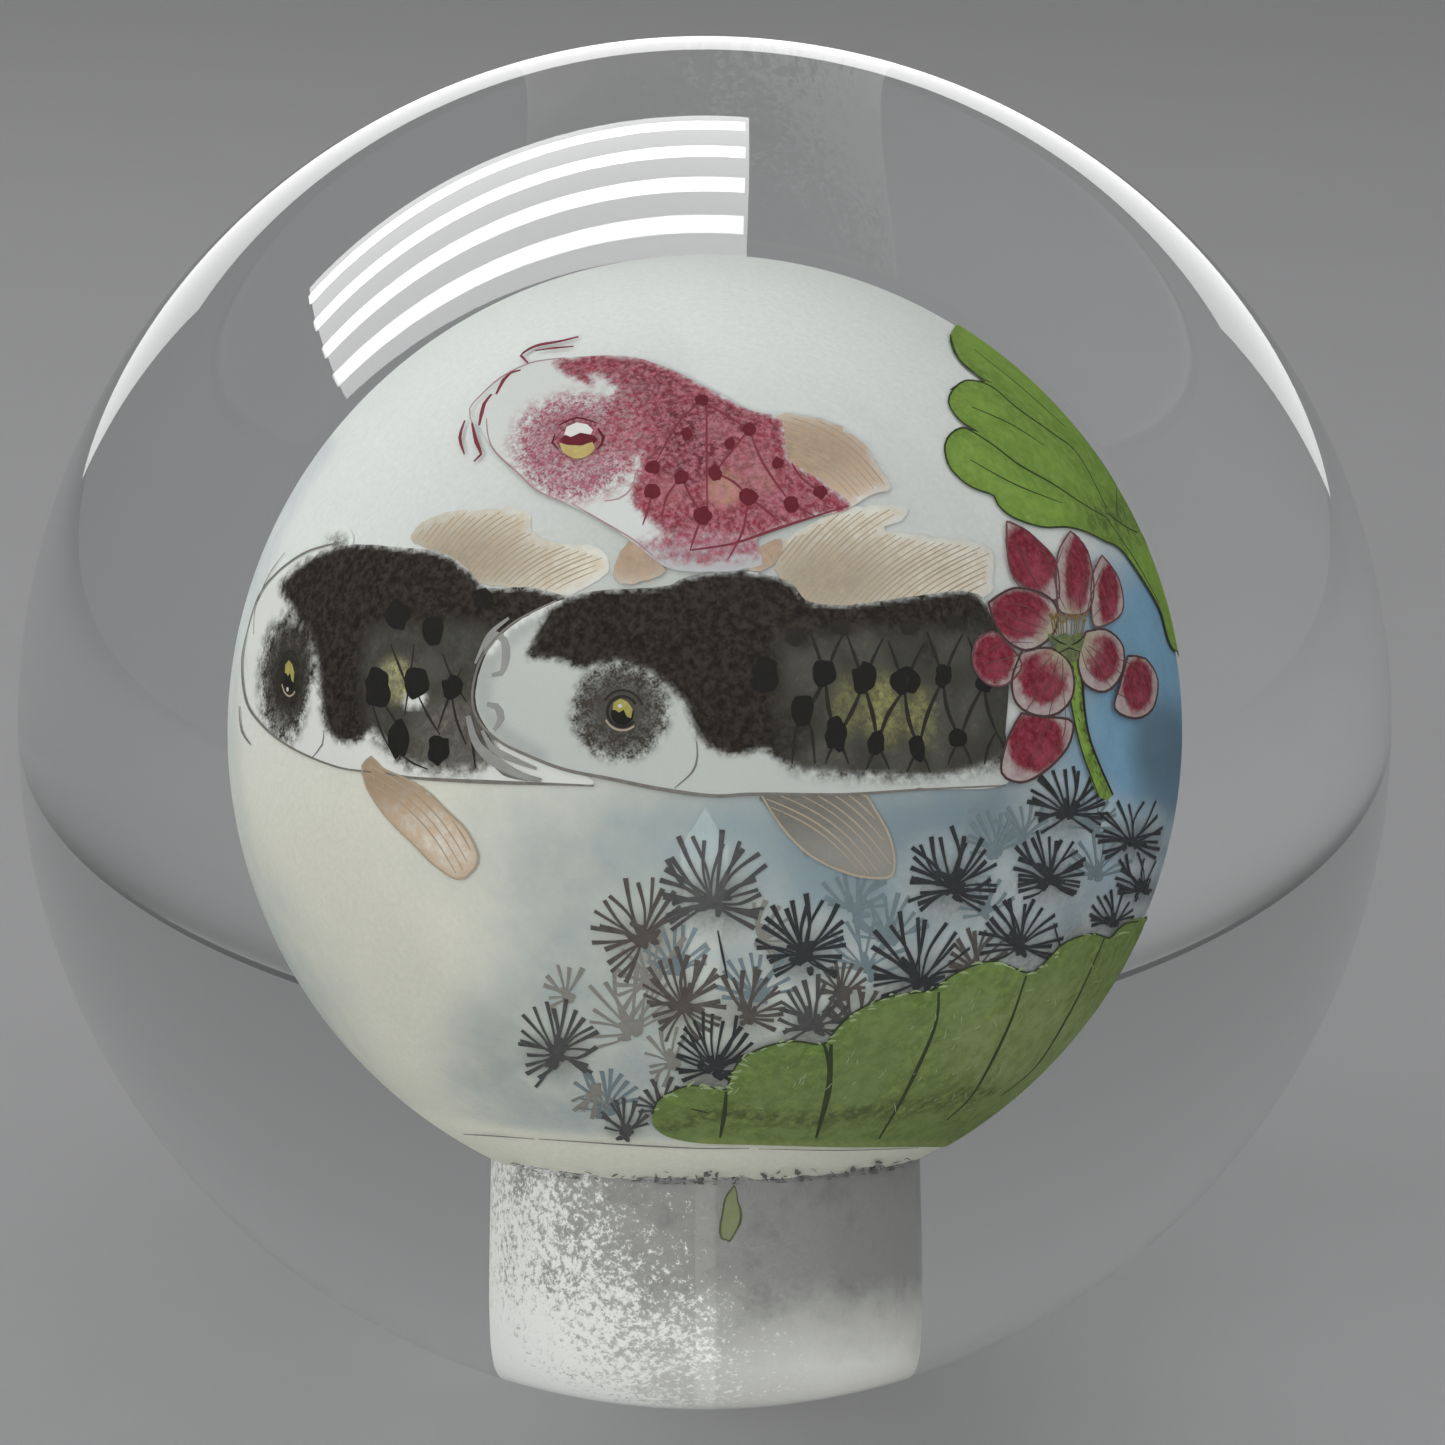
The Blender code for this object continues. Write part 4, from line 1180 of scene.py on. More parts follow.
    ring = strokes("red_koi_eye_ring", [(((-0.305, 0.618), (-0.311, 0.600), (-0.298, 0.586)), 0.006),
                   (((-0.216, 0.630), (-0.204, 0.612), (-0.208, 0.596), (-0.218, 0.586)), 0.009),
                   (((-0.298, 0.636), (-0.26, 0.652), (-0.218, 0.641)), 0.006)], lift + 1.2,
                   looks["red_spot"])
    glint = sheet("red_koi_eye_glint", np.array(((-0.286, 0.617), (-0.281, 0.633), (-0.260, 0.642),
                                                 (-0.238, 0.638),
                  (-0.226, 0.627), (-0.231, 0.617), (-0.252, 0.621), (-0.272, 0.612))), lift + 1.4,
                  looks["tint"],
                  flat_paint((0.78, 0.77, 0.74), (0.6, 0.5, 0.45), 0.1))
    place_all((iris, pupil, ring, glint), "koi_red_paint")
    peach = ((0.76, 0.66, 0.54), PEACH)
    back = np.array(((0.15, 0.655), (0.22, 0.658), (0.28, 0.642), (0.33, 0.607), (0.365, 0.565),
                     (0.395, 0.51),
                     (0.36, 0.50), (0.31, 0.47), (0.25, 0.50), (0.18, 0.56)))
    place_all(fin("red_koi_dorsal_fin", back, peach, ((0.20, 0.62), (0.38, 0.50)), 0.012, 8.2, looks,
                  (0.20, 0.58), rng),
              "koi_red_paint")
    left = np.array(((-0.15, 0.395), (-0.12, 0.385), (-0.09, 0.36), (-0.07, 0.335), (-0.11, 0.315),
                     (-0.17, 0.31),
                     (-0.18, 0.34)))
    place_all(fin("red_koi_left_fin", left, peach, ((-0.14, 0.38), (-0.15, 0.32)), 0.016, 8.2, looks,
                  (-0.13, 0.38), rng),
              "koi_red_paint")
    right = np.array(((0.17, 0.40), (0.165, 0.36), (0.13, 0.335), (0.10, 0.34), (0.115, 0.375),
                      (0.14, 0.395)))
    place_all(fin("red_koi_right_fin", right, peach, ((0.15, 0.39), (0.13, 0.34)), 0.016, 8.2, looks,
                  (0.15, 0.39), rng),
              "koi_red_paint")


# ---------------------------------------------------------------- lotus

PETALS = (
    ((0.635, 0.44), (0.67, 0.425), (0.70, 0.40), (0.735, 0.36), (0.745, 0.30), (0.735, 0.275), (0.66, 0.315),
     (0.64, 0.36)),
    ((0.765, 0.42), (0.80, 0.38), (0.815, 0.30), (0.80, 0.25), (0.75, 0.25), (0.74, 0.29), (0.74, 0.37)),
    ((0.83, 0.37), (0.865, 0.32), (0.872, 0.25), (0.82, 0.22), (0.81, 0.27), (0.812, 0.33)),
    ((0.60, 0.27), (0.65, 0.30), (0.71, 0.29), (0.74, 0.26), (0.74, 0.22), (0.72, 0.19), (0.68, 0.17),
     (0.64, 0.19),
     (0.615, 0.225)),
    ((0.575, 0.19), (0.61, 0.21), (0.645, 0.18), (0.67, 0.14), (0.64, 0.10), (0.60, 0.10), (0.57, 0.14)),
    ((0.67, 0.17), (0.73, 0.175), (0.77, 0.14), (0.775, 0.08), (0.745, 0.04), (0.70, 0.035), (0.66, 0.06),
     (0.65, 0.11)),
    ((0.67, 0.04), (0.71, 0.032), (0.75, 0.03), (0.775, 0.02), (0.765, -0.03), (0.72, -0.08), (0.67, -0.105),
     (0.63, -0.085), (0.64, -0.02)),
    ((0.80, 0.21), (0.84, 0.215), (0.875, 0.18), (0.872, 0.12), (0.84, 0.085), (0.80, 0.10), (0.785, 0.14),
     (0.79, 0.18)),
    ((0.885, 0.16), (0.92, 0.155), (0.945, 0.11), (0.935, 0.05), (0.90, 0.03), (0.86, 0.05), (0.87, 0.10)),
)
# Where each petal is reddest, and the half-widths of that part.
PETAL_HEARTS = (
    (0.685, 0.365, 0.050, 0.065), (0.782, 0.33, 0.022, 0.075), (0.845, 0.29, 0.018, 0.055),
    (0.665, 0.245, 0.055, 0.045),
    (0.612, 0.155, 0.038, 0.045), (0.715, 0.115, 0.042, 0.048), (0.70, -0.02, 0.050, 0.055),
    (0.835, 0.155, 0.028, 0.042),
    (0.905, 0.10, 0.026, 0.048),
)


def petal_paint(heart, base):
    """A petal's paint: a crisp red heart in a pink bloom, pale at its rim and yellow by the middle."""
    u, v, wide, high = heart

    def paint(uv):
        made = Paint(uv, (0.50, 0.44, 0.42), PETAL_RED, 0.08)
        made.oval((u, v), (wide * 1.35, high * 1.35), 0.7, ink=0.45)
        made.oval((u, v), (wide * 1.15, high * 1.15), 0.22, ink=1.0)
        made.oval((u + 0.3 * wide, v - 0.5 * high), (wide * 0.5, high * 0.4), 1.2, dark=(0.30, 0.05, 0.08),
                  strength=0.7)
        made.oval(base, (0.055, 0.065), 1.0, ink=0.04, pale=(0.42, 0.40, 0.25), strength=0.85)
        return made

    return paint


def lotus(looks, rng):
    """The open flower with its stamens and pod, and its stem."""
    base = (0.765, 0.195)
    lines, dark_lines = [], []
    for index, (petal, heart) in enumerate(zip(PETALS, PETAL_HEARTS)):
        name = "lotus_flower" if index == 0 else f"lotus_petal_{index}"
        made = sheet(name, petal, 9.0 + index * 0.15, looks["petal"], petal_paint(heart, base), pitch=0.012)
        place(made, "lotus_crimson_paint", *(("lotus_flower",) if index == 0 else ()))
        heavy = index in (3, 5, 6, 7, 8)
        (dark_lines if heavy else lines).append((np.array(petal + petal[:1]), 0.0075 if heavy else 0.0055,
                                                 (0.8, 1.0, 0.8)))
        far = max(petal, key=lambda point: math.dist(point, base))
        for spread in (-0.22, 0.06, 0.28):
            near = np.array(base) * 0.55 + np.array(heart[:2]) * 0.45
            tip = np.array(heart[:2]) * 0.35 + np.array(far) * 0.65
            side = np.array((-(tip - near)[1], (tip - near)[0])) * spread
            lines.append(((near + side * 0.4, (near + tip) / 2 + side, tip + side * 0.5), 0.003,
                          (0.2, 1.0, 0.2)))
    place(strokes("lotus_petal_lines", lines, 10.6, looks["petal_line"]), "lotus_crimson_paint")
    place(strokes("lotus_petal_outlines", dark_lines, 10.8, looks["petal_dark_line"]), "lotus_crimson_paint")
    threads, heads = [], []
    for step in range(13):
        root = 0.735 + 0.058 * step / 12 + rng.normal(0, 0.001)
        height = rng.uniform(0.026, 0.046)
        lean = (root - 0.765) * 0.25
        threads.append((((root, 0.203), (root + lean * 0.5, 0.203 + height / 2),
                         (root + lean, 0.203 + height)), 0.0038,
                        (0.8, 1.0, 0.8)))
        heads.append((root + lean, 0.203 + height, 0.0040, 0.0045))
    place(strokes("lotus_stamen_threads", threads, 11.2, looks["stamen"]), "lotus_crimson_paint")
    place(dabs("lotus_stamen_heads", heads, 11.7, looks["stamen"], seed=9), "lotus_crimson_paint")
    cup = ((0.722, 0.206), (0.740, 0.200), (0.756, 0.207), (0.768, 0.200), (0.786, 0.208), (0.797, 0.196),
           (0.789, 0.172),
           (0.782, 0.150), (0.768, 0.146), (0.752, 0.162), (0.732, 0.178))
    pod = sheet("lotus_pod", cup, 12.2, looks["leaf"], flat_paint((0.20, 0.22, 0.10), (0.075, 0.090, 0.045),
                                                                  0.7))
    place(pod, "stem_green_paint")
    notches = [(((0.728, 0.20), (0.745, 0.188), (0.760, 0.182)), 0.006),
               (((0.795, 0.20), (0.782, 0.188), (0.770, 0.182)), 0.006),
               (((0.745, 0.166), (0.765, 0.176), (0.787, 0.168)), 0.005)]
    place(strokes("lotus_cup_lines", notches, 12.6, looks["dark_line"]), "stem_green_paint")
    left = ((0.762, 0.19), (0.770, 0.08), (0.785, 0.0), (0.802, -0.06), (0.830, -0.135))
    right = ((0.858, -0.13), (0.828, -0.06), (0.808, 0.0), (0.797, 0.08), (0.792, 0.19))

    def stem_paint(uv):
        made = Paint(uv, LEAF_LIGHT, LEAF_DARK, 0.25)
        made.line(right, 0.014, ink=0.9)
        return made

    stem = sheet("lotus_stem", left + right, 8.2, looks["leaf"], stem_paint, pitch=0.012)
    place(stem, "stem_green_paint", "lotus_stem")
    prickles = [(right, 0.008, (0.8, 1.0, 1.3)), (left, 0.004, (0.8, 1.0, 0.8))]
    for step in range(12):
        height = 0.14 - step * 0.022
        place_u = float(np.interp(-height, [-0.19, -0.08, 0.0, 0.06, 0.135],
                                  [0.777, 0.783, 0.797, 0.815, 0.844]))
        side = rng.uniform(-0.010, 0.010)
        prickles.append((((place_u + side, height), (place_u + side + 0.004, height - 0.008)), 0.004))
    place(strokes("lotus_stem_marks", prickles, 8.7, looks["dark_line"]), "stem_green_paint")


UPPER_LEAF = (
    (0.51, 0.83), (0.515, 0.805), (0.53, 0.78), (0.57, 0.745), (0.585, 0.733), (0.545, 0.735), (0.52, 0.715),
    (0.512, 0.69), (0.525, 0.665), (0.545, 0.645), (0.575, 0.628), (0.545, 0.637), (0.52, 0.625),
    (0.507, 0.60),
    (0.515, 0.56), (0.54, 0.53), (0.57, 0.51), (0.61, 0.495), (0.62, 0.475), (0.65, 0.45), (0.71, 0.43),
    (0.76, 0.43),
    (0.80, 0.42), (0.84, 0.40), (0.87, 0.385), (0.91, 0.33), (0.95, 0.26), (0.985, 0.17), (1.07, 0.20),
    (1.10, 0.40),
    (0.99, 0.62), (0.83, 0.83), (0.64, 0.91), (0.54, 0.87),
)
LOWER_LEAF = (
    (-0.10, -0.80), (-0.09, -0.775), (-0.06, -0.755), (-0.02, -0.742), (0.03, -0.748), (0.055, -0.75),
    (0.065, -0.72),
    (0.09, -0.685), (0.14, -0.66), (0.20, -0.65), (0.26, -0.655), (0.285, -0.625), (0.33, -0.585),
    (0.40, -0.555),
    (0.49, -0.54), (0.52, -0.515), (0.57, -0.49), (0.62, -0.48), (0.68, -0.503), (0.71, -0.49), (0.76, -0.44),
    (0.82, -0.42), (0.85, -0.43), (0.88, -0.40), (0.93, -0.39), (1.05, -0.46), (1.02, -0.66), (0.86, -0.80),
    (0.66, -0.86), (0.50, -0.865), (0.36, -0.868), (0.25, -0.868), (0.12, -0.865), (0.0, -0.862),
    (-0.07, -0.848),
    (-0.10, -0.825),
)


def leaf_blotches(made, low, high, rng, count, size):
    """Pools of a lighter and a darker green, as a wet brush leaves them."""
    for _ in range(count):
        centre = (rng.uniform(low[0], high[0]), rng.uniform(low[1], high[1]))
        reach = rng.uniform(0.4, 1.0) * size
        made.oval(centre, (reach, reach * rng.uniform(0.5, 1.0)), 1.2, ink=rng.choice((0.05, 0.85)),
                  strength=0.5)


def leaves(looks, rng):
    """The two big lotus leaves at the right, which run on round the side."""
    veins_top = [
        (((0.515, 0.715), (0.55, 0.736), (0.60, 0.722), (0.65, 0.68), (0.72, 0.63), (0.78, 0.58),
          (0.84, 0.47)), 0.007),
        (((0.51, 0.61), (0.54, 0.637), (0.60, 0.605), (0.66, 0.56), (0.73, 0.52), (0.79, 0.48), (0.84, 0.45)),
         0.007),
        (((0.51, 0.83), (0.53, 0.78), (0.57, 0.745), (0.60, 0.73)), 0.006),
        (((0.66, 0.89), (0.74, 0.78), (0.80, 0.66), (0.85, 0.54), (0.86, 0.46)), 0.006),
        (((0.56, 0.80), (0.66, 0.72), (0.75, 0.64)), 0.0045), (((0.56, 0.68), (0.64, 0.645), (0.71, 0.60)),
                                                               0.0045),
        (((0.56, 0.57), (0.65, 0.52), (0.75, 0.48)), 0.0045), (((0.84, 0.46), (0.90, 0.42), (0.99, 0.40)),
                                                               0.006),
        (((0.84, 0.45), (0.90, 0.36), (0.95, 0.27)), 0.005),
    ]
    edge_top = np.array(UPPER_LEAF[:29])

    def upper(uv):
        made = Paint(uv, LEAF_LIGHT, LEAF_MID, 0.45)
        leaf_blotches(made, (0.5, 0.35), (1.0, 0.85), rng, 40, 0.05)
        for points, _ in veins_top[:4]:
            made.line(points, 0.030, ink=0.85, strength=0.8)
        made.oval((0.86, 0.44), (0.07, 0.05), 1.2, ink=0.95, dark=LEAF_DARK, strength=0.6)
        made.line(edge_top, 0.018, ink=0.85, strength=0.6)
        return made

    top = sheet("upper_lotus_leaf", UPPER_LEAF, 6.0, looks["leaf"], upper, pitch=0.014)
    place(top, "leaf_green_paint", "upper_lotus_leaf")
    lines = veins_top + [(edge_top, 0.006, (0.8, 1.0, 0.8))]
    place(strokes("upper_leaf_veins", lines, 6.5, looks["leaf_line"]), "leaf_green_paint")

    veins_low = [
        (((0.055, -0.755), (0.05, -0.80), (0.04, -0.85)), 0.015),
        (((0.275, -0.655), (0.268, -0.75), (0.24, -0.85)), 0.019),
        (((0.50, -0.545), (0.49, -0.62), (0.43, -0.75), (0.37, -0.85)), 0.014),
        (((0.68, -0.51), (0.64, -0.62), (0.57, -0.75), (0.51, -0.81)), 0.013),
        (((0.84, -0.43), (0.78, -0.56), (0.70, -0.69), (0.62, -0.76)), 0.012),
        (((0.92, -0.41), (0.90, -0.50), (0.83, -0.63)), 0.007),
        (((0.26, -0.655), (0.27, -0.69), (0.268, -0.72)), 0.014), (((-0.02, -0.79), (0.02, -0.80)), 0.006),
    ]
    edge_low = np.array(LOWER_LEAF[:25])
    chalk = []
    for _ in range(70):
        index = rng.integers(1, 24)
        share = rng.uniform(0, 1)
        u, v = edge_low[index] * share + edge_low[index - 1] * (1 - share) + rng.normal(0, 0.003, 2)
        end = (u + rng.uniform(0.006, 0.022), v + rng.normal(0.002, 0.005))
        chalk.append((((u, v), ((u + end[0]) / 2, (v + end[1]) / 2 + 0.001), end), rng.uniform(0.004, 0.010),
                      (0.4, 1.0, 0.3)))
    for _ in range(150):
        u, v = rng.uniform(0.0, 0.86), rng.uniform(-0.80, -0.46)
        if v < np.interp(u, [0.0, 0.3, 0.6, 0.86], [-0.77, -0.66, -0.54, -0.48]):
            reach, tilt = rng.uniform(0.006, 0.022), rng.normal(1.0, 0.5)
            end = (u + reach * math.cos(tilt), v + reach * math.sin(tilt))
            chalk.append((((u, v), ((u + end[0]) / 2 + 0.001, (v + end[1]) / 2), end), 0.003,
                          (0.3, 1.0, 0.3)))

    def lower(uv):
        made = Paint(uv, (0.20, 0.28, 0.09), (0.105, 0.155, 0.04), 0.45)
        leaf_blotches(made, (-0.1, -0.86), (1.0, -0.4), rng, 60, 0.06)
        for points, _ in veins_low[:6]:
            made.line(points, 0.035, ink=0.8, strength=0.6)
        made.line(((-0.08, -0.83), (0.05, -0.80), (0.20, -0.81), (0.36, -0.795), (0.50, -0.77),
                   (0.60, -0.74)), 0.026,
                  ink=0.95, dark=(0.060, 0.075, 0.025), strength=0.8)
        made.line(((0.0, -0.862), (0.25, -0.866), (0.50, -0.86), (0.70, -0.84)), 0.014, ink=0.0,
                  pale=(0.27, 0.32, 0.10))
        made.line(edge_low, 0.05, ink=0.75, dark=(0.10, 0.165, 0.024), strength=0.6)
        made.oval((0.72, -0.66), (0.20, 0.12), 1.2, pale=(0.29, 0.35, 0.15), ink=0.25, strength=0.7)
        return made

    low = sheet("lower_lotus_leaf", LOWER_LEAF, 6.0, looks["leaf"], lower, pitch=0.016)
    place(low, "leaf_green_paint", "lower_lotus_leaf")
    lines = veins_low + [(edge_low, 0.006, (0.8, 1.0, 0.8))]
    place(strokes("lower_leaf_veins", lines, 6.5, looks["leaf_line"]), "leaf_green_paint")
    place(strokes("lower_leaf_chalk", chalk, 7.0, looks["chalk"]), "leaf_green_paint")


# ---------------------------------------------------------------- water weed

def fan_strokes(u, v, reach, first, last, count, rng):
    """Needles of one fan: blunt tips, thin roots, longest where they point up, and a dense middle."""
    lines = []
    middle = np.array((u, v))
    number = round(0.88 * count)
    for needle in range(number):
        angle = math.radians(first + (last - first) * (needle + rng.normal(0, 0.16)) / (number - 1))
        length = reach * (0.66 + 0.32 * max(0.0, math.sin(angle))) * rng.uniform(0.84, 1.06)
        bow = rng.normal(0, 0.05) * length
        way = np.array((math.cos(angle), math.sin(angle)))
        side = np.array((-way[1], way[0]))
        root = middle + rng.normal(0, 0.03, 2) * reach
        while np.linalg.norm(root + way * length) > FAN_LIMIT and length > 0.01:
            length *= 0.85
        points = (root, root + way * length * 0.5 + side * bow, root + way * length)
        lines.append((points, 0.0128 * rng.uniform(0.7, 1.15), (0.40, 0.60, 1.0)))
    for _ in range(12):
        angle = rng.uniform(0, math.tau)
        start = middle + rng.normal(0, 0.07, 2) * reach
        way = np.array((math.cos(angle), 0.3 + math.sin(angle))) * reach * rng.uniform(0.10, 0.28)
        lines.append(((start, start + way * 0.5, start + way), 0.018, (0.8, 1.0, 0.5)))
    return lines


def junction_marks(looks, rng):
    """Dark scuffs and chips where the ground coat ends at the bore, and a green smear on the bore's wall."""
    lines, chips = [], []
    for _ in range(110):
        u = rng.uniform(-0.41, 0.43)
        v = -0.944 + 0.036 * (u / 0.43) ** 2 + rng.normal(0, 0.009)
        length = rng.uniform(0.006, 0.022)
        tilt = rng.normal(0, 0.6)
        end = (u + length * math.cos(tilt), v + length * math.sin(tilt) * 0.6)
        lines.append((((u, v), ((u + end[0]) / 2, (v + end[1]) / 2 + rng.normal(0, 0.003)), end),
                      rng.uniform(0.003, 0.010), (0.4, 1.0, 0.3)))
    for _ in range(26):
        u = rng.uniform(-0.12, 0.42)
        v = -0.946 + 0.036 * (u / 0.43) ** 2 + rng.normal(0, 0.010)
        chips.append((u, v, rng.uniform(0.003, 0.008), rng.uniform(0.003, 0.007)))
    place(strokes("junction_scuffs", lines, 6.0, looks["scuff"]), "ground_white_paint")
    place(dabs("junction_chips", chips, 6.6, looks["scuff"], rough=0.3, seed=12), "ground_white_paint")
    place(bore_mark("green_smear", 0.0, 0.0, looks["smear"]), "stem_green_paint")
    place(bore_mark("green_smear_edge", 0.00009, -0.00001, looks["smear_edge"]), "stem_green_paint")


def bore_mark(name, margin, sink, look):
    """A small leaf-shaped film on the bore's wall, under the ground coat's edge, grown by a margin."""
    height = COAT_LOW[2] - 0.0039
    angles = np.linspace(0, math.tau, 24, endpoint=False)
    uneven = 1 + 0.10 * np.cos(3 * angles + 1) + 0.08 * np.cos(5 * angles)
    narrow = 0.55 + 0.45 * np.abs(np.cos(angles))
    across = (0.00034 + margin) * np.cos(angles) * uneven * narrow + 0.00012 * np.sin(angles)
    up = (0.00112 + margin) * np.sin(angles) * uneven
    centre = -math.pi / 2 + 0.125
    count = len(angles)
    vertices, faces = [], []
    for radius in (BORE_RADIUS + sink + 0.00003, BORE_RADIUS + sink + 0.00001):
        turned = centre + across / BORE_RADIUS
        vertices += list(zip(radius * np.cos(turned), radius * np.sin(turned), height + up))
        vertices.append((radius * math.cos(centre), radius * math.sin(centre), height))
    for step in range(count):
        after = (step + 1) % count
        faces += [[count, step, after], [2 * count + 1, count + 1 + after, count + 1 + step]]
        faces.append([step, count + 1 + step, count + 1 + after, after])
    return mesh_object(name, vertices, faces, look)


def weeds(looks, rng):
    """The bed of water weed at the front, and the fine border line under the picture."""
    tones = {}
    for u, v, reach, first, last, count, tone in FANS:
        tones.setdefault(tone, []).extend(fan_strokes(u, v, reach, first, last, count, rng))
    tones["dark"] += [
        (((0.04, -0.42), (0.05, -0.47), (0.06, -0.52)), 0.007),
        (((-0.03, -0.62), (-0.01, -0.66), (0.01, -0.70)), 0.008),
        (((0.74, -0.40), (0.75, -0.44), (0.76, -0.47)), 0.007),
    ]
    for tone, lines in tones.items():
        name = "water_weed_bed" if tone == "grey" else "water_weed_" + tone
        made = strokes(name, lines, {"blue": 2.0, "faint": 2.4, "brown": 2.7, "grey": 3.0, "dark": 3.3}[tone],
                       looks["weed_" + tone])
        place(made, "weed_grey_paint", *(("water_weed_bed",) if tone == "grey" else ()))
    border = [
        (((-0.50, -0.84), (-0.42, -0.846), (-0.35, -0.852)), 0.006),
        (((-0.34, -0.852), (-0.20, -0.862), (-0.10, -0.868),
          (0.0, -0.872), (0.10, -0.872)), 0.006),
        (((0.12, -0.873), (0.30, -0.875), (0.45, -0.868)), 0.004),
    ]
    place(strokes("ground_border_line", border, 6.2, looks["line"]), "weed_grey_paint")


# ---------------------------------------------------------------- the rear picture

def rear_picture(looks, rng):
    """The picture on the far side: a small leaf, a bud and weed."""
    angles = np.linspace(0, math.tau, 28, endpoint=False)
    scallop = 1 + 0.055 * np.cos(7 * angles) + rng.normal(0, 0.012, len(angles))
    outline = np.stack([-0.25 + 0.31 * np.cos(angles) * scallop, 0.14 + 0.20 * np.sin(angles) * scallop],
                       axis=1)
    centre = np.array((-0.22, 0.11))
    ends = [centre + 0.93 * (point - centre) for point in outline[::2]]
    veins = [((centre, (centre + end) / 2 + rng.normal(0, 0.006, 2), end), 0.008,
              (1.0, 0.8, 0.4)) for end in ends]

    def leaf(uv):
        made = Paint(uv, LEAF_LIGHT, LEAF_MID, 0.4)
        leaf_blotches(made, (-0.56, -0.06), (0.06, 0.34), rng, 30, 0.06)
        made.oval(centre, (0.09, 0.06), 1.2, ink=0.9)
        return made

    made = sheet("rear_lotus_leaf", outline, 4.0, looks["leaf"], leaf, REAR, pitch=0.016)
    place(made, "leaf_green_paint", "rear_lotus_leaf")
    veins.append((np.concatenate([outline, outline[:1]]), 0.006, (0.8, 1.0, 0.8)))
    place(strokes("rear_leaf_veins", veins, 4.5, looks["leaf_line"], REAR), "leaf_green_paint")

    petals = (
        ((0.35, 0.17), (0.27, 0.22), (0.24, 0.31), (0.27, 0.40), (0.31, 0.33), (0.34, 0.24)),
        ((0.35, 0.17), (0.43, 0.22), (0.46, 0.31), (0.43, 0.40), (0.39, 0.33), (0.36, 0.24)),
        ((0.35, 0.17), (0.30, 0.25), (0.29, 0.38), (0.35, 0.52), (0.41, 0.38), (0.40, 0.25)),
    )
    lines = []
    for index, petal in enumerate(petals):
        middle = np.mean(petal, axis=0)
        heart = (middle[0], middle[1] + 0.06, 0.05, 0.10)
        name = "rear_lotus_bud" if index == 0 else f"rear_bud_petal_{index}"
        made = sheet(name, petal, 5.0 + index * 0.2, looks["petal"], petal_paint(heart, (0.35, 0.18)), REAR,
                     pitch=0.014)
        place(made, "lotus_crimson_paint", *(("rear_lotus_bud",) if index == 0 else ()))
        lines.append((np.array(petal + petal[:1]), 0.005, (0.8, 1.0, 0.8)))
    place(strokes("rear_bud_lines", lines, 5.8, looks["petal_line"], REAR), "lotus_crimson_paint")
    stalk = [
        (((0.35, 0.18), (0.36, 0.05), (0.35, -0.10), (0.33, -0.27)), 0.022, (0.8, 1.0, 1.2)),
        (((-0.20, 0.0), (-0.17, -0.14), (-0.18, -0.30)), 0.020, (0.8, 1.0, 1.2)),
    ]
    place(strokes("rear_stalks", stalk, 3.6, looks["stalk"], REAR), "stem_green_paint")
    fans = [
        (-0.44, -0.40, 0.14, "grey"), (-0.24, -0.50, 0.15, "dark"), (-0.04, -0.40, 0.14, "dark"),
        (0.16, -0.52, 0.15, "grey"), (0.36, -0.40, 0.15, "dark"), (0.54, -0.50, 0.12, "grey"),
        (0.0, -0.62, 0.12, "dark"),
    ]
    for tone in ("grey", "dark"):
        lines = []
        for u, v, reach, own in fans:
            if own == tone:
                lines += fan_strokes(u, v, reach, -30, 210, 20, rng)
        name = "rear_water_weed_bed" if tone == "grey" else "rear_weed_dark"
        made = strokes(name, lines, 2.4 if tone == "grey" else 2.9, looks["weed_" + tone], REAR)
        place(made, "weed_grey_paint", *(("rear_water_weed_bed",) if tone == "grey" else ()))


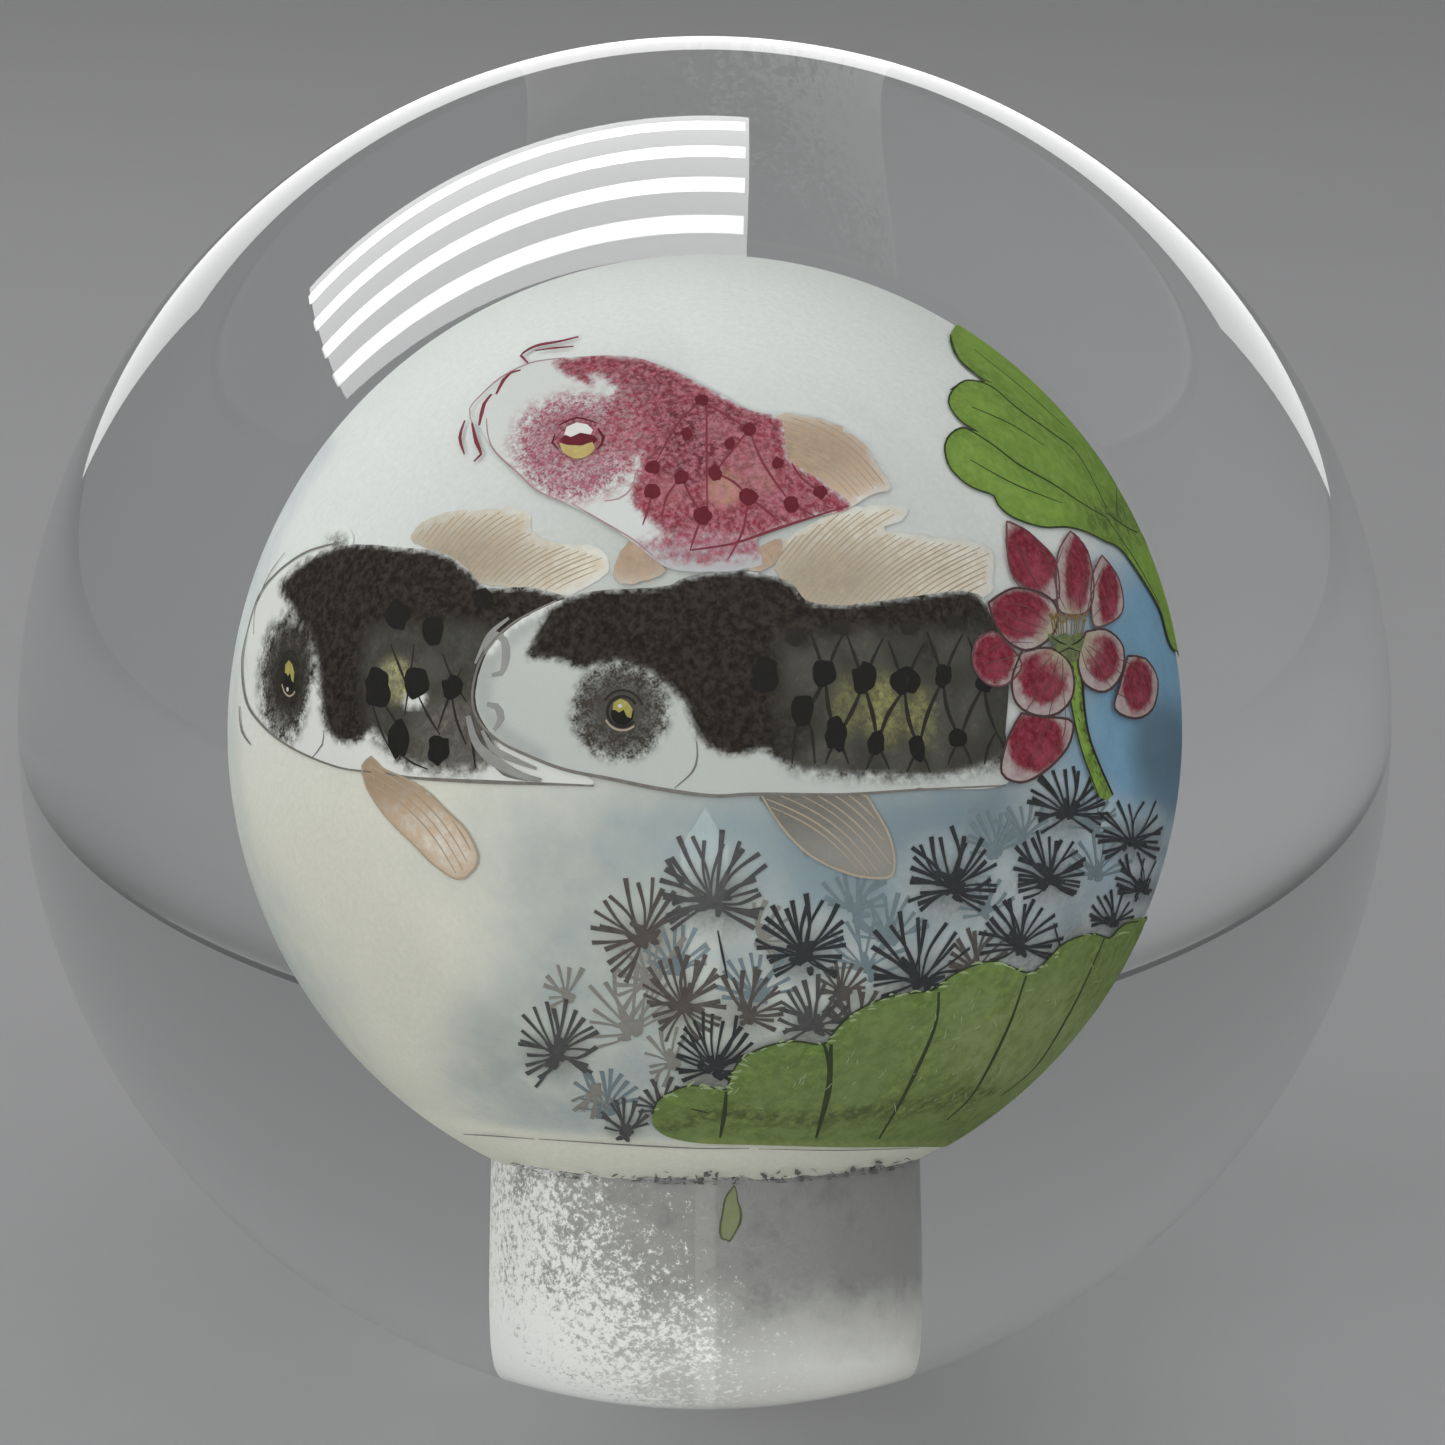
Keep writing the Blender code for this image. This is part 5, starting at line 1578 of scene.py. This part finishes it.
def make_looks():
    """The materials that several pieces share, by what they are for."""
    return {
        "black": patch_look("koi_black", ragged=0.9, mottle=0.8, fleck=(0.058, 0.048, 0.036), flecks=0.70),
        "red": patch_look("koi_red", cloud=2600, ragged=0.9, stipple=1.0, mottle=0.6,
                          fleck=(0.52, 0.20, 0.25), flecks=0.8),
        "fin": patch_look("koi_fin", grain=7000, ragged=0.6, stipple=0.5, mottle=0.3),
        "petal": patch_look("lotus_petal", grain=5200, ragged=0.6, mottle=0.45, fleck=(0.36, 0.07, 0.11),
                            flecks=0.6),
        "leaf": patch_look("leaf_green", grain=5200, cloud=1300, ragged=0.9, mottle=0.7,
                           fleck=(0.32, 0.44, 0.12), flecks=0.5),
        "tint": patch_look("eye_tint", mottle=0.4),
        "fin_ray": ink_look("fin_ray", (0.37, 0.295, 0.21), (0.56, 0.48, 0.37)),
        "line": ink_look("outline_ink", (0.13, 0.12, 0.105), (0.34, 0.32, 0.29)),
        "grey_line": ink_look("barbel_ink", (0.25, 0.25, 0.24), (0.42, 0.42, 0.40), 1500),
        "dark_line": ink_look("net_ink", (0.014, 0.013, 0.010), (0.045, 0.042, 0.033)),
        "spot": ink_look("scale_ink", (0.007, 0.007, 0.006), (0.022, 0.020, 0.017), 4000),
        "soft_spot": ink_look("back_spot_ink", (0.016, 0.015, 0.012), (0.04, 0.036, 0.03), 4000),
        "red_line": ink_look("red_line_ink", (0.16, 0.016, 0.03), (0.30, 0.07, 0.09)),
        "rose_line": ink_look("rose_line_ink", (0.34, 0.17, 0.19), (0.50, 0.38, 0.39)),
        "red_spot": ink_look("red_spot_ink", (0.10, 0.008, 0.016), (0.19, 0.022, 0.036), 4000),
        "petal_line": ink_look("petal_line_ink", (0.11, 0.045, 0.05), (0.24, 0.10, 0.10)),
        "petal_dark_line": ink_look("petal_dark_ink", (0.045, 0.028, 0.028), (0.13, 0.07, 0.07)),
        "stamen": ink_look("stamen_ink", (0.30, 0.20, 0.075), (0.12, 0.07, 0.03)),
        "leaf_line": ink_look("leaf_line_ink", (0.022, 0.035, 0.012), (0.06, 0.085, 0.03)),
        "scuff": ink_look("scuff_ink", (0.10, 0.10, 0.095), (0.30, 0.30, 0.28)),
        "smear": ink_look("smear_green", (0.17, 0.20, 0.09), (0.28, 0.30, 0.17), 3000),
        "smear_edge": ink_look("smear_edge_green", (0.055, 0.065, 0.03), (0.13, 0.15, 0.08), 3000),
        "chalk": ink_look("leaf_chalk_ink", (0.42, 0.50, 0.30), (0.25, 0.36, 0.12)),
        "stalk": ink_look("stalk_green", (0.14, 0.24, 0.04), (0.05, 0.10, 0.025), 700),
        "weed_dark": ink_look("weed_dark_ink", (0.014, 0.016, 0.018), (0.06, 0.065, 0.068)),
        "weed_grey": ink_look("weed_grey_ink", (0.045, 0.046, 0.046), (0.13, 0.13, 0.125)),
        "weed_brown": ink_look("weed_brown_ink", (0.055, 0.048, 0.043), (0.16, 0.145, 0.13)),
        "weed_faint": ink_look("weed_faint_ink", (0.20, 0.195, 0.175), (0.34, 0.33, 0.30)),
        "weed_blue": ink_look("weed_blue_ink", (0.14, 0.19, 0.21), (0.24, 0.30, 0.32)),
    }


def place_all(pieces, slot):
    """Place pieces that stand for no node of their own."""
    for piece in pieces:
        place(piece, slot)


# ---------------------------------------------------------------- studio

def studio():
    """A pale floor with painted shade at the back, soft light all round, softboxes, and lamps that only the
    polished glass shows.
    """
    scene = bpy.context.scene
    scene.view_settings.view_transform = "Standard"
    bpy.ops.mesh.primitive_plane_add(size=40, location=(0, 0, 0))
    floor = bpy.context.object
    floor.name = "studio_floor"
    look, tree, shader = new_material("pale_floor")
    cloth = mixed(tree, noise(tree, 40, 3), (0.195, 0.195, 0.198), (0.214, 0.214, 0.218))
    place_in = add(tree, "ShaderNodeSeparateXYZ")
    tree.links.new(add(tree, "ShaderNodeTexCoord").outputs["Object"], place_in.inputs[0])
    # Painted shade: the floor darkens towards the back, away from the lamps.
    far = add(tree, "ShaderNodeMapRange", **{"From Min": 0.0, "From Max": 0.9, "To Min": 0.0, "To Max": 0.80})
    tree.links.new(place_in.outputs["Y"], far.inputs["Value"])
    tree.links.new(mixed(tree, far.outputs[0], cloth, (0.105, 0.105, 0.107)), shader.inputs["Base Color"])
    shader.inputs["Roughness"].default_value = 0.8
    floor.data.materials.append(look)

    world = bpy.data.worlds.new("studio_world")
    world.use_nodes = True
    tree = world.node_tree
    way = add(tree, "ShaderNodeTexCoord")
    parts = add(tree, "ShaderNodeSeparateXYZ")
    tree.links.new(way.outputs["Generated"], parts.inputs[0])
    rise = add(tree, "ShaderNodeMapRange", **{"From Min": -0.1, "From Max": 0.9, "To Min": 0.19,
                                              "To Max": 0.30})
    tree.links.new(parts.outputs["Z"], rise.inputs["Value"])
    # The room's soft light is brighter than the room looks, so that matt paint is lit from all round.
    path = add(tree, "ShaderNodeLightPath")
    extra = maths(tree, "MULTIPLY", maths(tree, "MINIMUM", path.outputs["Diffuse Depth"], 1.0), 0.28)
    strength = maths(tree, "ADD", rise.outputs[0], extra)
    tree.links.new(strength, tree.nodes["Background"].inputs["Strength"])
    tree.nodes["Background"].inputs["Color"].default_value = (0.98, 0.99, 1.0, 1)
    scene.world = world

    for tube, offset in enumerate((0.20, 0.38, 0.57, 0.77)):
        seen_lamp(area_light(f"tube_{tube}", (-0.51, offset, 1.0), (1.18, 0.075), 9.0))
    seen_lamp(area_light("panel", (-0.51, 0.48, 1.02), (1.2, 0.80), 5.2))
    seen_lamp(area_light("back_strip", (0.05, 2.4, 0.30), (3.4, 0.85), 1.5))
    for name, location, size, radiance in (
        ("front_softbox", (-0.5, -1.8, 0.5), (1.6, 1.2), 2.4),
        ("left_softbox", (-1.8, -0.6, 0.6), (1.2, 1.2), 3.2),
        ("right_softbox", (1.8, -0.5, 0.7), (1.2, 1.2), 1.0),
        ("low_softbox", (-0.2, -1.6, 0.42), (1.8, 0.50), 3.7),
        ("top_softbox", (0.0, -0.25, 1.0), (1.0, 1.0), 1.2),
    ):
        lamp = area_light(name, location, size, radiance)
        lamp.visible_glossy = False
        lamp.visible_transmission = False


def seen_lamp(lamp):
    """A lamp that only the glass's polished outside shows, so that it adds no light to the paint."""
    lamp.visible_diffuse = False
    lamp.visible_transmission = False


def area_light(name, location, size, radiance):
    """A rectangular lamp that faces the ball, of an even radiance."""
    data = bpy.data.lights.new(name, "AREA")
    data.shape = "RECTANGLE"
    data.size, data.size_y = size
    data.energy = radiance * math.pi * size[0] * size[1]
    light = bpy.data.objects.new(name, data)
    light.location = Vector(location) + BALL_CENTRE
    if not name.startswith(("tube", "panel")):
        light.rotation_euler = (BALL_CENTRE - light.location).to_track_quat("-Z", "Y").to_euler()
    light.visible_camera = False
    bpy.context.scene.collection.objects.link(light)
    return light


def camera():
    """The camera, VIEW_TILT above the horizontal, with the ball nearly filling the frame."""
    distance = VIEW_DISTANCE * BALL_RADIUS
    data = bpy.data.cameras.new("view")
    data.sensor_width = 36
    half_frame = FRAME_SHARE / math.sqrt(VIEW_DISTANCE**2 - 1)
    data.lens = 18 / half_frame
    data.clip_start = 0.01
    obj = bpy.data.objects.new("view", data)
    obj.location = BALL_CENTRE + distance * Vector(AXIS)
    aim = BALL_CENTRE + Vector((AIM_RIGHT, 0, 0))
    obj.rotation_euler = (aim - obj.location).to_track_quat("-Z", "Y").to_euler()
    bpy.context.scene.collection.objects.link(obj)
    bpy.context.scene.camera = obj


def place(piece, slot, *nodes):
    """Ride a piece on the one body and let it stand for these nodes. The slot is not used."""
    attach(piece, "root")
    if nodes:
        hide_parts(*nodes)


def main():
    place(crystal_ball(), "crystal_glass", "glass_ball")
    place(ground_coat(), "ground_white_paint", "ground_coat")
    looks = make_looks()
    rng = np.random.default_rng(7)
    weeds(looks, rng)
    left_koi(looks, rng)
    front_koi(looks, rng)
    red_koi(looks, rng)
    leaves(looks, rng)
    lotus(looks, rng)
    rear_picture(looks, rng)
    junction_marks(looks, rng)
    studio()
    camera()


main()
